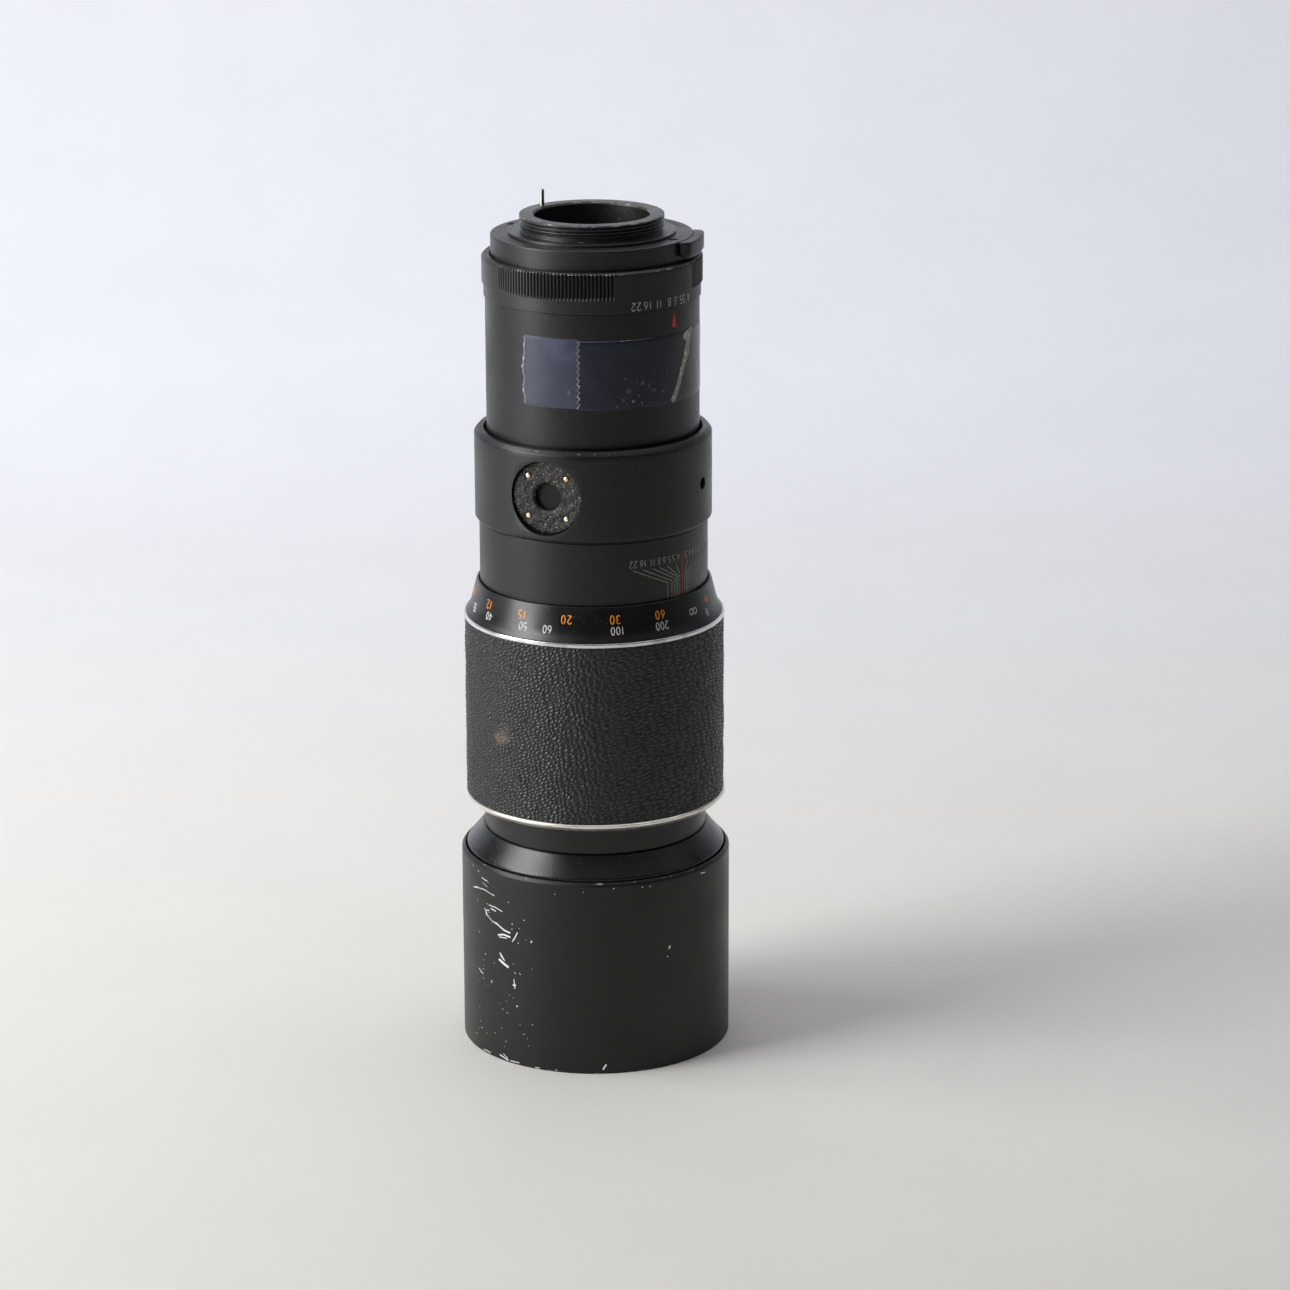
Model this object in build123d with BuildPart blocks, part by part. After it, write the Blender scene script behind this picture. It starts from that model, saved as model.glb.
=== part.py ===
from build123d import *
import os
from math import asin, atan2, cos, degrees, hypot, radians, sin

# A 300 mm f/4.5 automatic telephoto lens with an M42 x 1 screw mount.  It stands on its built-in
# sliding hood, so the subject side is down and the camera mount is up.
#
# Millimetres.  +Z is the optical axis, from the hood's rim up to the camera mount, and Z = 0 is
# the plane that the rim stands on.  A bearing is the angle round the axis from -Y towards +X.

# ---------------------------------------------------------------- fits
running = 0.05          # radial clearance of a turning or sliding fit
free_gap = 0.35         # radial gap between faces that only pass each other
end_gap = 0.1           # axial gap beside a moving shoulder

# ---------------------------------------------------------------- radii, worked out from the barrel
barrel_radius = 31.15   # rear barrel, the long plain tube
barrel_wall = 1.4
scale_step = 2.45       # depth-of-field barrel stands this much outside the rear barrel
scale_wall = 1.4
neck_step = 0.6         # neck lies this much inside the depth-of-field barrel
slide_step = 3.6        # sliding tube lies this much inside the neck
slide_wall = 1.2
sleeve_wall = 1.75      # brass focus sleeve
ring_wall = 2.7         # focus ring over the sleeve
leather_thickness = 0.4
collar_wall = 4.15      # tripod collar over its journal
journal_step = 0.55     # journal lies this much inside the rear barrel
shoulder_step = 5.0     # front barrel stands this much outside the neck
front_wall = 2.0        # front barrel at its filter thread
cell_step = 1.0         # front cell's bore in the front barrel behind that thread
hood_gap = 1.0          # between front barrel and hood
hood_wall = 1.1
drum_step = 1.75        # rear housing lies this much inside the rear barrel
drum_wall = 1.8
drum_lip = 0.8          # housing's lip over the aperture ring
skirt_step = 0.4        # aperture scale skirt over the rear barrel
knurl_step = 0.9        # knurled band over the rear barrel

scale_radius = barrel_radius + scale_step
neck_radius = scale_radius - neck_step
slide_radius = neck_radius - slide_step
journal_radius = barrel_radius - journal_step
collar_radius = journal_radius + running + collar_wall
sleeve_bore = scale_radius + running
ring_bore = sleeve_bore + sleeve_wall
grip_radius = ring_bore + ring_wall
leather_radius = grip_radius + leather_thickness
front_radius = neck_radius + shoulder_step
hood_bore = front_radius + hood_gap
hood_radius = hood_bore + hood_wall
drum_radius = barrel_radius - drum_step
drum_journal = drum_radius - drum_lip
drum_bore = drum_radius - drum_wall
barrel_bore = barrel_radius - barrel_wall

# ---------------------------------------------------------------- heights, from the rim up
hood_length = 59.6
hood_chamfer = 0.9
front_recess = 3.0      # front barrel stops this far inside the rim
hood_travel = 42.0      # how far the hood draws out
cone_base = 0.7         # straight edge of the shoulder above the hood
cone_height = 5.9
neck_showing = 8.8
ring_foot = 2.1         # focus ring below the leather, which holds the lower trim
leather_length = 53.6
trim_length = 1.3
scale_cone = 9.9        # distance scale above the upper trim
scale_showing = 18.4    # depth-of-field barrel between focus ring and collar
collar_length = 27.3
barrel_showing = 39.2   # rear barrel between collar and aperture ring
skirt_length = 4.0
knurl_length = 8.0
drum_showing = 5.85     # housing above the aperture ring
flange_height = 0.8
thread_length = 4.8
focus_travel = 19.15    # extension from infinity to 5 m
focus_degrees_per_mm = 14.84

neck_z = hood_length + cone_base + cone_height
ring_z = neck_z + neck_showing
leather_z = ring_z + ring_foot
trim_z = leather_z + leather_length
cone_z = trim_z + trim_length
cone_top_z = cone_z + scale_cone
collar_z = cone_top_z + scale_showing + end_gap
collar_top_z = collar_z + collar_length
barrel_top_z = collar_top_z + barrel_showing
aperture_z = barrel_top_z + end_gap
knurl_z = aperture_z + skirt_length
knurl_top_z = knurl_z + knurl_length
drum_top_z = knurl_top_z + drum_showing
flange_z = drum_top_z + flange_height
mount_z = flange_z + thread_length

# ---------------------------------------------------------------- bearings and standard parts
socket_bearing = -24.2
shoe_bearing = socket_bearing + 90
switch_bearing = 77
pin_bearing = -128.5
link_bearing = 180
thread_radius = 21.0    # M42 x 1
thread_pitch = 1.0
thread_depth = 0.55
flange_radius = 24.3
mount_bore = 16.75
filter_thread_length = 4.5
socket_radius = 10.95
socket_depth = 3.15
socket_plate_thickness = 0.75
socket_hole_radius = 4.0   # minor radius of a 3/8 in tripod thread
socket_relief_radius = 4.6   # thread runs out in it, against the journal
socket_relief_depth = 0.35
socket_pin_square = 11.9
socket_pin_radius = 0.65
shoe_hole_radius = 1.8
aperture_min = -10.0    # degrees the aperture ring turns from rest to f/4.5
aperture_max = 25.3     # and to f/22
switch_travel = 12.0
switch_span = 40.0
switch_reach = 3.0      # thumb tab over the housing
stop_pin_radius = 0.65
stop_pin_circle = 18.4
stop_pin_showing = 5.0
knurl_pitch = 1.95      # degrees from rib to rib
knurl_ribs = 35         # ribs in each of three sectors
knurl_groove = 0.28     # radius of the round groove between ribs


def compass(bearing, distance, height):
    """The point at a bearing, a distance from the axis and a height."""
    return (distance * sin(radians(bearing)), -distance * cos(radians(bearing)), height)


def facing(bearing, distance, height):
    """A plane that looks outward along a bearing, with its own Y axis up."""
    angle = radians(bearing)
    return Plane(
        origin=compass(bearing, distance, height),
        x_dir=(cos(angle), sin(angle), 0),
        z_dir=(sin(angle), -cos(angle), 0),
    )


def half_section(*points, bearing=90):
    """A closed outline of (radius, height) points, standing on the axis at a bearing."""
    angle = radians(bearing)
    standing = Plane(
        origin=(0, 0, 0),
        x_dir=(sin(angle), -cos(angle), 0),
        z_dir=(-cos(angle), -sin(angle), 0),
    )
    with BuildSketch(standing) as section:
        with BuildLine():
            Polyline(*points, close=True)
        make_face()
    return section.sketch


def box_section(inner, outer, low, high, bearing=90):
    """The half section of a plain ring."""
    return half_section((inner, low), (outer, low), (outer, high), (inner, high), bearing=bearing)


def finish(builder, name):
    """Label a finished sub-part and write its STEP file."""
    builder.part.label = name
    export_step(builder.part, f"parts/{name}.step")


def plain_ring(name, inner, outer, low, high):
    """A turned ring of rectangular section."""
    with BuildPart() as ring:
        revolve(box_section(inner, outer, low, high), axis=Axis.Z)
    finish(ring, name)


def dish(radius, half_width):
    """How far a sphere of this radius bulges over a disc of this half width."""
    return abs(radius) - (radius * radius - half_width * half_width) ** 0.5


def rim_drop(curve, half_width, ring_width):
    """How far a bulging face falls from a seating ring's inner corner to the glass's edge."""
    return dish(curve, half_width) - dish(curve, half_width - ring_width)


def lens_element(name, half_width, low, high, low_curve, high_curve):
    """A glass element between edge heights low and high; a positive curve bulges outward."""
    low_middle = low - dish(low_curve, half_width) * (1 if low_curve > 0 else -1)
    high_middle = high + dish(high_curve, half_width) * (1 if high_curve > 0 else -1)
    part_way = half_width * 0.5
    low_half = low_middle + dish(low_curve, part_way) * (1 if low_curve > 0 else -1)
    high_half = high_middle - dish(high_curve, part_way) * (1 if high_curve > 0 else -1)
    with BuildPart() as glass:
        with BuildSketch(Plane.XZ):
            with BuildLine():
                ThreePointArc((0, low_middle), (part_way, low_half), (half_width, low))
                Line((half_width, low), (half_width, high))
                ThreePointArc((half_width, high), (part_way, high_half), (0, high_middle))
                Line((0, high_middle), (0, low_middle))
            make_face()
        revolve(axis=Axis.Z)
    finish(glass, name)


os.makedirs("parts", exist_ok=True)

# ================================================================ hood
guide_length = 5.0
guide_top_z = hood_length - 2.4
guide_z = guide_top_z - guide_length
stop_ring_z = front_recess
stop_ring_top_z = guide_z - hood_travel - end_gap

with BuildPart() as hood_tube:
    revolve(
        half_section(
            (hood_bore, 0),
            (hood_radius, 0),
            (hood_radius, hood_length - hood_chamfer),
            (hood_radius - hood_chamfer, hood_length),
            (hood_bore, hood_length),
        ),
        axis=Axis.Z,
    )
finish(hood_tube, "hood_tube")

plain_ring("hood_guide_ring", front_radius + running, hood_bore, guide_z, guide_top_z)

# ================================================================ front barrel and front lens group
cell_bore = front_radius - front_wall - cell_step
thread_end_z = front_recess + filter_thread_length
shoulder_z = guide_top_z + end_gap
shoulder_radius = front_radius + 0.5
cone_top_radius = neck_radius + 0.65
joint_radius = neck_radius - 1.4      # screwed joint between front barrel and neck
joint_length = 4.2
neck_wall = 3.0
neck_bore = neck_radius - neck_wall
shoulder_floor = 1.2

with BuildPart() as front_barrel:
    revolve(
        half_section(
            (front_radius - front_wall, front_recess),
            (front_radius, front_recess),
            (front_radius, shoulder_z),
            (shoulder_radius, shoulder_z),
            (shoulder_radius, hood_length + cone_base),
            (cone_top_radius, neck_z),
            (joint_radius, neck_z),
            (joint_radius, neck_z - joint_length),
            (cell_bore, shoulder_z - shoulder_floor),
            (cell_bore, thread_end_z),
            (front_radius - front_wall, thread_end_z),
        ),
        axis=Axis.Z,
    )
finish(front_barrel, "front_barrel")

plain_ring("hood_stop_ring", front_radius, hood_bore - free_gap, stop_ring_z, stop_ring_top_z)

cell_wall = 1.0
glass_radius = cell_bore - cell_wall
seat_width = 1.4        # how far the rings reach in over the glass
spacer_bore = glass_radius - seat_width
first_curve = 3.294 * glass_radius      # the surfaces' radii follow the glass's size
first_rear_curve = -26.47 * glass_radius
second_curve = 5.294 * glass_radius
second_rear_curve = 11.765 * glass_radius
first_z = thread_end_z + 5.8
first_top_z = first_z + 3.0
second_z = first_top_z + 4.0
second_top_z = second_z + 3.0
third_z = second_top_z + 6.5
third_curve = -7.353 * glass_radius
third_rear_curve = -4.706 * glass_radius
third_top_z = third_z + 0.2206 * glass_radius
cell_top_z = third_top_z + 3.5
retainer_z = thread_end_z + 0.3
retainer_top_z = first_z - rim_drop(first_curve, glass_radius, seat_width)

plain_ring("front_retaining_ring", spacer_bore, cell_bore, retainer_z, retainer_top_z)
plain_ring("front_cell", glass_radius, cell_bore, retainer_top_z, cell_top_z)
lens_element(
    "front_element", glass_radius, first_z, first_top_z, first_curve, first_rear_curve
)
plain_ring(
    "front_spacer",
    spacer_bore,
    glass_radius,
    first_top_z,
    second_z - rim_drop(second_curve, glass_radius, seat_width),
)
lens_element(
    "second_element", glass_radius, second_z, second_top_z, second_curve, second_rear_curve
)
plain_ring(
    "rear_spacer",
    spacer_bore,
    glass_radius,
    second_top_z + rim_drop(second_rear_curve, glass_radius, seat_width),
    third_z,
)
lens_element(
    "third_element", glass_radius, third_z, third_top_z, third_curve, third_rear_curve
)
locking_bore = spacer_bore - 1.0
plain_ring("cell_locking_ring", locking_bore, glass_radius, third_top_z, cell_top_z)
plain_ring("cell_clamp_ring", locking_bore, cell_bore, cell_top_z, cell_top_z + 3.0)

# ---------------------------------------------------------------- neck and sliding tube
shelf_z = collar_z - end_gap
shelf_low_z = shelf_z - 2.4
neck_length = 31.8
neck_top_wall = 2.0
slide_clear = 7.9         # between the sliding tube and the shelf over it at infinity
neck_top_z = neck_z + neck_length
slide_top_z = shelf_low_z - slide_clear
key_z = neck_top_z + 7.0
key_length = 8.0
key_width = 4.0
key_bearings = (0, 180)
slot_length = key_length + focus_travel + 2 * end_gap

with BuildPart() as inner_barrel:
    revolve(
        half_section(
            (neck_bore, neck_z - joint_length),
            (joint_radius, neck_z - joint_length),
            (joint_radius, neck_z),
            (neck_radius, neck_z),
            (neck_radius, neck_top_z),
            (slide_radius, neck_top_z),
            (slide_radius, slide_top_z),
            (slide_radius - slide_wall, slide_top_z),
            (slide_radius - slide_wall, neck_top_z - neck_top_wall),
            (neck_bore, neck_top_z - neck_top_wall),
        ),
        axis=Axis.Z,
    )
    with BuildSketch(Plane.XY.offset(key_z - end_gap)):
        Rectangle(key_width + 2 * running, 2 * slide_radius + 1)
    extrude(amount=slot_length, mode=Mode.SUBTRACT)
finish(inner_barrel, "inner_barrel")

baffle_z = neck_top_z - 12.0
baffle_width = 3.0
plain_ring("front_light_baffle", neck_bore - baffle_width, neck_bore, baffle_z, baffle_z + 0.8)

# ================================================================ main barrel
guide_barrel_z = neck_top_z + 2.0
journal_top_z = collar_top_z - 2.4
journal_wall = 1.4
key_sleeve_bore = slide_radius + running
key_sleeve_radius = key_sleeve_bore + 1.15
scale_bore = scale_radius - scale_wall
spigot_length = 7.0
spigot_wall = 1.0
stop_screw_z = guide_barrel_z + 20
stop_screw_radius = 1.0
stop_screw_proud = 0.85
retainer_height = 1.8
retainer_lip = 0.8

with BuildPart() as guide_barrel:
    revolve(
        half_section(
            (scale_bore, guide_barrel_z),
            (scale_radius, guide_barrel_z),
            (scale_radius, shelf_z),
            (journal_radius, shelf_z),
            (journal_radius, shelf_low_z),
            (scale_bore, shelf_low_z),
        ),
        axis=Axis.Z,
    )
    with BuildSketch(facing(link_bearing, scale_bore - 1, stop_screw_z)):
        Circle(stop_screw_radius)
    extrude(amount=scale_wall + 2, mode=Mode.SUBTRACT)
finish(guide_barrel, "guide_barrel")

journal_bore = journal_radius - journal_wall
plain_ring("collar_journal", journal_bore, journal_radius, shelf_low_z, journal_top_z)

key_sleeve_z = guide_barrel_z + 1.5
key_flange = 2.0
with BuildPart() as key_sleeve:
    revolve(
        half_section(
            (key_sleeve_bore, key_sleeve_z),
            (key_sleeve_radius, key_sleeve_z),
            (key_sleeve_radius, shelf_low_z - key_flange),
            (scale_bore, shelf_low_z - key_flange),
            (scale_bore, shelf_low_z),
            (key_sleeve_bore, shelf_low_z),
        ),
        axis=Axis.Z,
    )
    with BuildSketch(Plane.XY.offset(key_z)):
        Rectangle(key_width, 2 * key_sleeve_radius + 1)
    extrude(amount=key_length, mode=Mode.SUBTRACT)
finish(key_sleeve, "key_sleeve")

with BuildPart() as guide_keys:
    for key_bearing in key_bearings:
        with BuildSketch(facing(key_bearing, slide_radius - slide_wall, key_z + key_length / 2)):
            Rectangle(key_width, key_length)
        extrude(amount=key_sleeve_radius - slide_radius + slide_wall - end_gap)
finish(guide_keys, "guide_keys")

plain_ring(
    "focus_retaining_ring",
    key_sleeve_bore + 0.6,
    scale_radius + retainer_lip,
    guide_barrel_z - retainer_height,
    guide_barrel_z,
)

with BuildPart() as focus_stop_screw:
    with BuildSketch(facing(link_bearing, scale_bore, stop_screw_z)):
        Circle(stop_screw_radius)
    extrude(amount=scale_wall + stop_screw_proud)
finish(focus_stop_screw, "focus_stop_screw")

with BuildPart() as rear_barrel:
    revolve(
        half_section(
            (barrel_bore - spigot_wall, journal_top_z - spigot_length),
            (journal_bore, journal_top_z - spigot_length),
            (journal_bore, journal_top_z),
            (barrel_radius, journal_top_z),
            (barrel_radius, barrel_top_z),
            (barrel_bore, barrel_top_z),
            (barrel_bore, journal_top_z + 2.0),
            (barrel_bore - spigot_wall, journal_top_z + 2.0),
        ),
        axis=Axis.Z,
    )
finish(rear_barrel, "rear_barrel")

# ================================================================ focus ring
ring_groove_z = guide_barrel_z - retainer_height - end_gap
ring_groove_top_z = guide_barrel_z + end_gap
ring_groove_radius = scale_radius + retainer_lip + end_gap
sleeve_z = ring_z + 1.0
sleeve_top_z = cone_z + 1.0
nut_bore = neck_radius + running
stop_groove_half = stop_screw_radius + 0.2
focus_throw = focus_travel * focus_degrees_per_mm
stop_margin = degrees(asin(stop_screw_radius / scale_radius)) + 0.3

with BuildPart() as focus_sleeve:
    revolve(
        half_section(
            (nut_bore, sleeve_z),
            (ring_bore, sleeve_z),
            (ring_bore, sleeve_top_z),
            (sleeve_bore, sleeve_top_z),
            (sleeve_bore, ring_groove_top_z),
            (ring_groove_radius, ring_groove_top_z),
            (ring_groove_radius, ring_groove_z),
            (nut_bore, ring_groove_z),
        ),
        axis=Axis.Z,
    )
    revolve(
        box_section(
            scale_radius - 0.5,
            scale_radius + stop_screw_proud + 0.15,
            stop_screw_z - stop_groove_half,
            stop_screw_z + stop_groove_half,
            bearing=link_bearing - focus_throw - stop_margin,
        ),
        axis=Axis.Z,
        revolution_arc=focus_throw + 2 * stop_margin,
        mode=Mode.SUBTRACT,
    )
finish(focus_sleeve, "focus_sleeve")

ring_mouth = scale_radius + free_gap
ring_mouth_low = ring_mouth + 0.6
ring_foot_drop = 0.4
cone_rim_radius = ring_mouth + 0.65
cone_waist_radius = grip_radius - 1.5
waist_z = cone_z + 2.2
foot_radius = grip_radius - 0.3
trim_seat = grip_radius - 0.8
set_screw_z = leather_z + 8
set_screw_radius = 1.2
set_screws = 3
lower_trim_radius = leather_radius + 0.4

with BuildPart() as focus_ring:
    revolve(
        half_section(
            (ring_mouth_low, ring_z - ring_foot_drop),
            (foot_radius - 1.0, ring_z - ring_foot_drop),
            (foot_radius - 1.0, ring_z),
            (trim_seat, ring_z),
            (trim_seat, leather_z),
            (grip_radius, leather_z),
            (grip_radius, trim_z),
            (trim_seat, trim_z),
            (trim_seat, cone_z),
            (grip_radius, cone_z),
            (cone_waist_radius, waist_z),
            (cone_rim_radius, cone_top_z),
            (ring_mouth, cone_top_z),
            (ring_mouth, sleeve_top_z),
            (ring_bore, sleeve_top_z),
            (ring_bore, sleeve_z),
            (ring_mouth_low, sleeve_z),
        ),
        axis=Axis.Z,
    )
    with PolarLocations(0, set_screws):
        with Locations((0, 0, set_screw_z)):
            Cylinder(
                radius=set_screw_radius,
                height=grip_radius,
                rotation=(0, 90, 0),
                align=(Align.CENTER, Align.CENTER, Align.MIN),
                mode=Mode.SUBTRACT,
            )
finish(focus_ring, "focus_ring")

with BuildPart() as focus_set_screws:
    with PolarLocations(0, set_screws):
        with Locations((ring_bore, 0, set_screw_z)):
            Cylinder(
                radius=set_screw_radius,
                height=ring_wall - 0.2,
                rotation=(0, 90, 0),
                align=(Align.CENTER, Align.CENTER, Align.MIN),
            )
finish(focus_set_screws, "focus_set_screws")

plain_ring("grip_leather", grip_radius, leather_radius, leather_z, trim_z)
plain_ring("upper_trim_ring", trim_seat, leather_radius + 0.1, trim_z, cone_z)

with BuildPart() as lower_trim_ring:
    revolve(
        half_section(
            (trim_seat, ring_z),
            (foot_radius, ring_z),
            (lower_trim_radius, ring_z + 1.2),
            (lower_trim_radius, leather_z - 0.3),
            (leather_radius, leather_z),
            (trim_seat, leather_z),
        ),
        axis=Axis.Z,
    )
finish(lower_trim_ring, "lower_trim_ring")

# ================================================================ tripod collar
collar_bore = journal_radius + running
collar_lip_top_z = journal_top_z - 2 * end_gap
collar_chamfer = 1.1     # at the foot
collar_bevel = 1.2       # at the top, and a little taller than wide
collar_bevel_height = 1.4
collar_mouth = barrel_radius + 0.85
drill_start = journal_radius - 3
drill_depth = collar_wall + 4
socket_pin_root = 0.6
socket_pin_proud = 0.3
socket_z = collar_z + 13.0
socket_floor = collar_radius - socket_depth

with BuildPart() as tripod_collar:
    revolve(
        half_section(
            (collar_bore, collar_z),
            (collar_radius - collar_chamfer, collar_z),
            (collar_radius, collar_z + collar_chamfer),
            (collar_radius, collar_top_z - collar_bevel_height),
            (collar_radius - collar_bevel, collar_top_z),
            (collar_mouth, collar_top_z),
            (collar_mouth, collar_lip_top_z),
            (collar_bore, collar_lip_top_z),
        ),
        axis=Axis.Z,
    )
    with BuildSketch(facing(socket_bearing, socket_floor, socket_z)):
        Circle(socket_radius)
    extrude(amount=socket_depth + 1, mode=Mode.SUBTRACT)
    with BuildSketch(facing(socket_bearing, drill_start, socket_z)):
        Circle(socket_hole_radius)
        with GridLocations(socket_pin_square, socket_pin_square, 2, 2):
            Circle(socket_pin_radius)
    extrude(amount=drill_depth, mode=Mode.SUBTRACT)
    with BuildSketch(facing(socket_bearing, drill_start, socket_z)):
        Circle(socket_relief_radius)
    extrude(amount=collar_bore + socket_relief_depth - drill_start, mode=Mode.SUBTRACT)
    with BuildSketch(facing(shoe_bearing, drill_start, socket_z)):
        Circle(shoe_hole_radius)
    extrude(amount=drill_depth, mode=Mode.SUBTRACT)
finish(tripod_collar, "tripod_collar")

with BuildPart() as tripod_socket:
    with BuildSketch(facing(socket_bearing, socket_floor, socket_z)):
        Circle(socket_radius)
        Circle(socket_hole_radius, mode=Mode.SUBTRACT)
        with GridLocations(socket_pin_square, socket_pin_square, 2, 2):
            Circle(socket_pin_radius, mode=Mode.SUBTRACT)
    extrude(amount=socket_plate_thickness)
finish(tripod_socket, "tripod_socket")

with BuildPart() as socket_pins:
    with BuildSketch(facing(socket_bearing, socket_floor - socket_pin_root, socket_z)):
        with GridLocations(socket_pin_square, socket_pin_square, 2, 2):
            Circle(socket_pin_radius)
    extrude(amount=socket_pin_root + socket_plate_thickness + socket_pin_proud)
finish(socket_pins, "socket_pins")

shoe_length = 1.4
grub_length = 1.8
grub_start = collar_bore + shoe_length
driver_slot_depth = 0.6
driver_slot_width = 0.5
with BuildPart() as collar_friction_shoe:
    with BuildSketch(facing(shoe_bearing, collar_bore, socket_z)):
        Circle(shoe_hole_radius)
    extrude(amount=shoe_length)
finish(collar_friction_shoe, "collar_friction_shoe")

with BuildPart() as collar_grub_screw:
    with BuildSketch(facing(shoe_bearing, grub_start, socket_z)):
        Circle(shoe_hole_radius)
    extrude(amount=grub_length)
    with BuildSketch(facing(shoe_bearing, grub_start + grub_length - driver_slot_depth, socket_z)):
        Rectangle(2 * shoe_hole_radius, driver_slot_width)
    extrude(amount=1, mode=Mode.SUBTRACT)
finish(collar_grub_screw, "collar_grub_screw")

# ================================================================ iris
iris_open = 13.5        # radius of the full aperture
iris_pivot_circle = 24.0
iris_blades = 6
iris_ratio = 0.737      # degrees a blade turns for each degree of the aperture ring
blade_width = 8.6
blade_thickness = 0.2
blade_spacing = 0.45
blade_tail = -3         # ends of a blade's arc, in degrees from its pivot
blade_tip = 118
ear_radius = 1.4
pivot_radius = 0.6
stud_radius = 0.45
stud_arm = 3.2          # from a blade's pivot to its drive stud
iris_z = barrel_top_z - 22.0
bulkhead_thickness = 2.4
blade_z = iris_z + bulkhead_thickness + 0.2
blade_top_z = blade_z + iris_blades * blade_spacing
rim_radius = iris_pivot_circle + 2.2
rim_wall = 1.0
bulkhead_top_z = iris_z + bulkhead_thickness
rim_top_z = blade_top_z + 0.1
drive_z = rim_top_z + end_gap
drive_thickness = 1.0
drive_tube_radius = drum_bore - 1.0
drive_tube_bore = drive_tube_radius - 0.9
plate_bore = iris_open + 0.9
link_radius = 1.2
link_z = aperture_z + 4.4
drive_tube_top_z = link_z + 2.0
blade_rest = -aperture_min * iris_ratio


def about_pivot(x, y, turn):
    """A point of a blade, given from the blade's pivot, after the blade turns about it."""
    angle = radians(turn)
    turned_x = iris_pivot_circle + x * cos(angle) - y * sin(angle)
    turned_y = x * sin(angle) + y * cos(angle)
    return (turned_x, turned_y)


def stud_in_drive_ring(ring_turn):
    """Where the drive ring sees a blade's stud when the aperture ring has turned this far."""
    x, y = about_pivot(0, stud_arm, blade_rest + ring_turn * iris_ratio)
    reach = hypot(x, y)
    angle = atan2(y, x) - radians(ring_turn)
    return (reach * cos(angle), reach * sin(angle))


with BuildPart() as iris_bulkhead:
    revolve(
        half_section(
            (plate_bore, iris_z),
            (barrel_bore, iris_z),
            (barrel_bore, bulkhead_top_z),
            (rim_radius + rim_wall, bulkhead_top_z),
            (rim_radius + rim_wall, rim_top_z),
            (rim_radius, rim_top_z),
            (rim_radius, bulkhead_top_z),
            (plate_bore, bulkhead_top_z),
        ),
        axis=Axis.Z,
    )
finish(iris_bulkhead, "iris_bulkhead")

with BuildPart() as iris_pivot_pins:
    with BuildSketch(Plane.XY.offset(bulkhead_top_z)):
        with PolarLocations(iris_pivot_circle, iris_blades):
            Circle(pivot_radius)
    extrude(amount=blade_top_z - bulkhead_top_z)
finish(iris_pivot_pins, "iris_pivot_pins")

for blade_number in range(iris_blades):
    blade_plane = Plane.XY.rotated((0, 0, blade_number * 360 / iris_blades))
    blade_low = blade_z + blade_number * blade_spacing
    arc_centre = about_pivot(-iris_pivot_circle, 0, blade_rest)
    stud_place = about_pivot(0, stud_arm, blade_rest)
    arc_start = blade_rest + blade_tail
    arc_size = blade_tip - blade_tail
    with BuildPart() as iris_blade:
        with BuildSketch(blade_plane.offset(blade_low)):
            with BuildLine():
                inner_arc = CenterArc(arc_centre, iris_open, arc_start, arc_size)
                outer_arc = CenterArc(arc_centre, iris_open + blade_width, arc_start, arc_size)
                Line(inner_arc @ 0, outer_arc @ 0)
                Line(inner_arc @ 1, outer_arc @ 1)
            make_face()
            with Locations((iris_pivot_circle, 0), stud_place):
                Circle(ear_radius)
            with Locations(about_pivot(-ear_radius, stud_arm / 2, blade_rest)):
                Rectangle(2 * ear_radius, stud_arm, rotation=blade_rest)
            with Locations((iris_pivot_circle, 0)):
                Circle(pivot_radius + running, mode=Mode.SUBTRACT)
        extrude(amount=blade_thickness)
        with BuildSketch(blade_plane.offset(blade_low + blade_thickness)):
            with Locations(stud_place):
                Circle(stud_radius)
        extrude(amount=drive_z + drive_thickness - blade_low - blade_thickness)
    finish(iris_blade, f"iris_blade_{blade_number + 1}")

cam_margin = 3          # degrees that a cam slot runs on past each end of the ring's travel
cam_steps = 8
cam_start = aperture_min - cam_margin
cam_step = (aperture_max - aperture_min + 2 * cam_margin) / cam_steps
cam_points = [stud_in_drive_ring(cam_start + step * cam_step) for step in range(cam_steps + 1)]
with BuildPart() as iris_drive_ring:
    revolve(
        half_section(
            (plate_bore, drive_z),
            (drive_tube_radius, drive_z),
            (drive_tube_radius, drive_tube_top_z),
            (drive_tube_bore, drive_tube_top_z),
            (drive_tube_bore, drive_z + drive_thickness),
            (plate_bore, drive_z + drive_thickness),
        ),
        axis=Axis.Z,
    )
    for slot_number in range(iris_blades):
        slot_plane = Plane.XY.rotated((0, 0, slot_number * 360 / iris_blades))
        with BuildSketch(slot_plane.offset(drive_z - 0.5)):
            with BuildLine():
                Spline(*cam_points)
            trace(line_width=2 * (stud_radius + 2 * running))
        extrude(amount=drive_thickness + 1, mode=Mode.SUBTRACT)
    with BuildSketch(facing(link_bearing, drive_tube_bore - 1, link_z)):
        Circle(link_radius)
    extrude(amount=drive_tube_radius - drive_tube_bore + 2, mode=Mode.SUBTRACT)
finish(iris_drive_ring, "iris_drive_ring")

# ================================================================ aperture ring and rear housing
ring_journal_bore = drum_journal + running
lip_z = knurl_top_z - 3.0
skirt_radius = barrel_radius + skirt_step
knurl_radius = barrel_radius + knurl_step
click_radius = (drum_journal - drum_bore) / 2
click_z = aperture_z + 1.9
click_bearing = link_bearing + 90
knurl_bearing = -22.8   # middle of the first sector of ribs
knurl_sectors = 3
knurl_chamfer = 0.7

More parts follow.
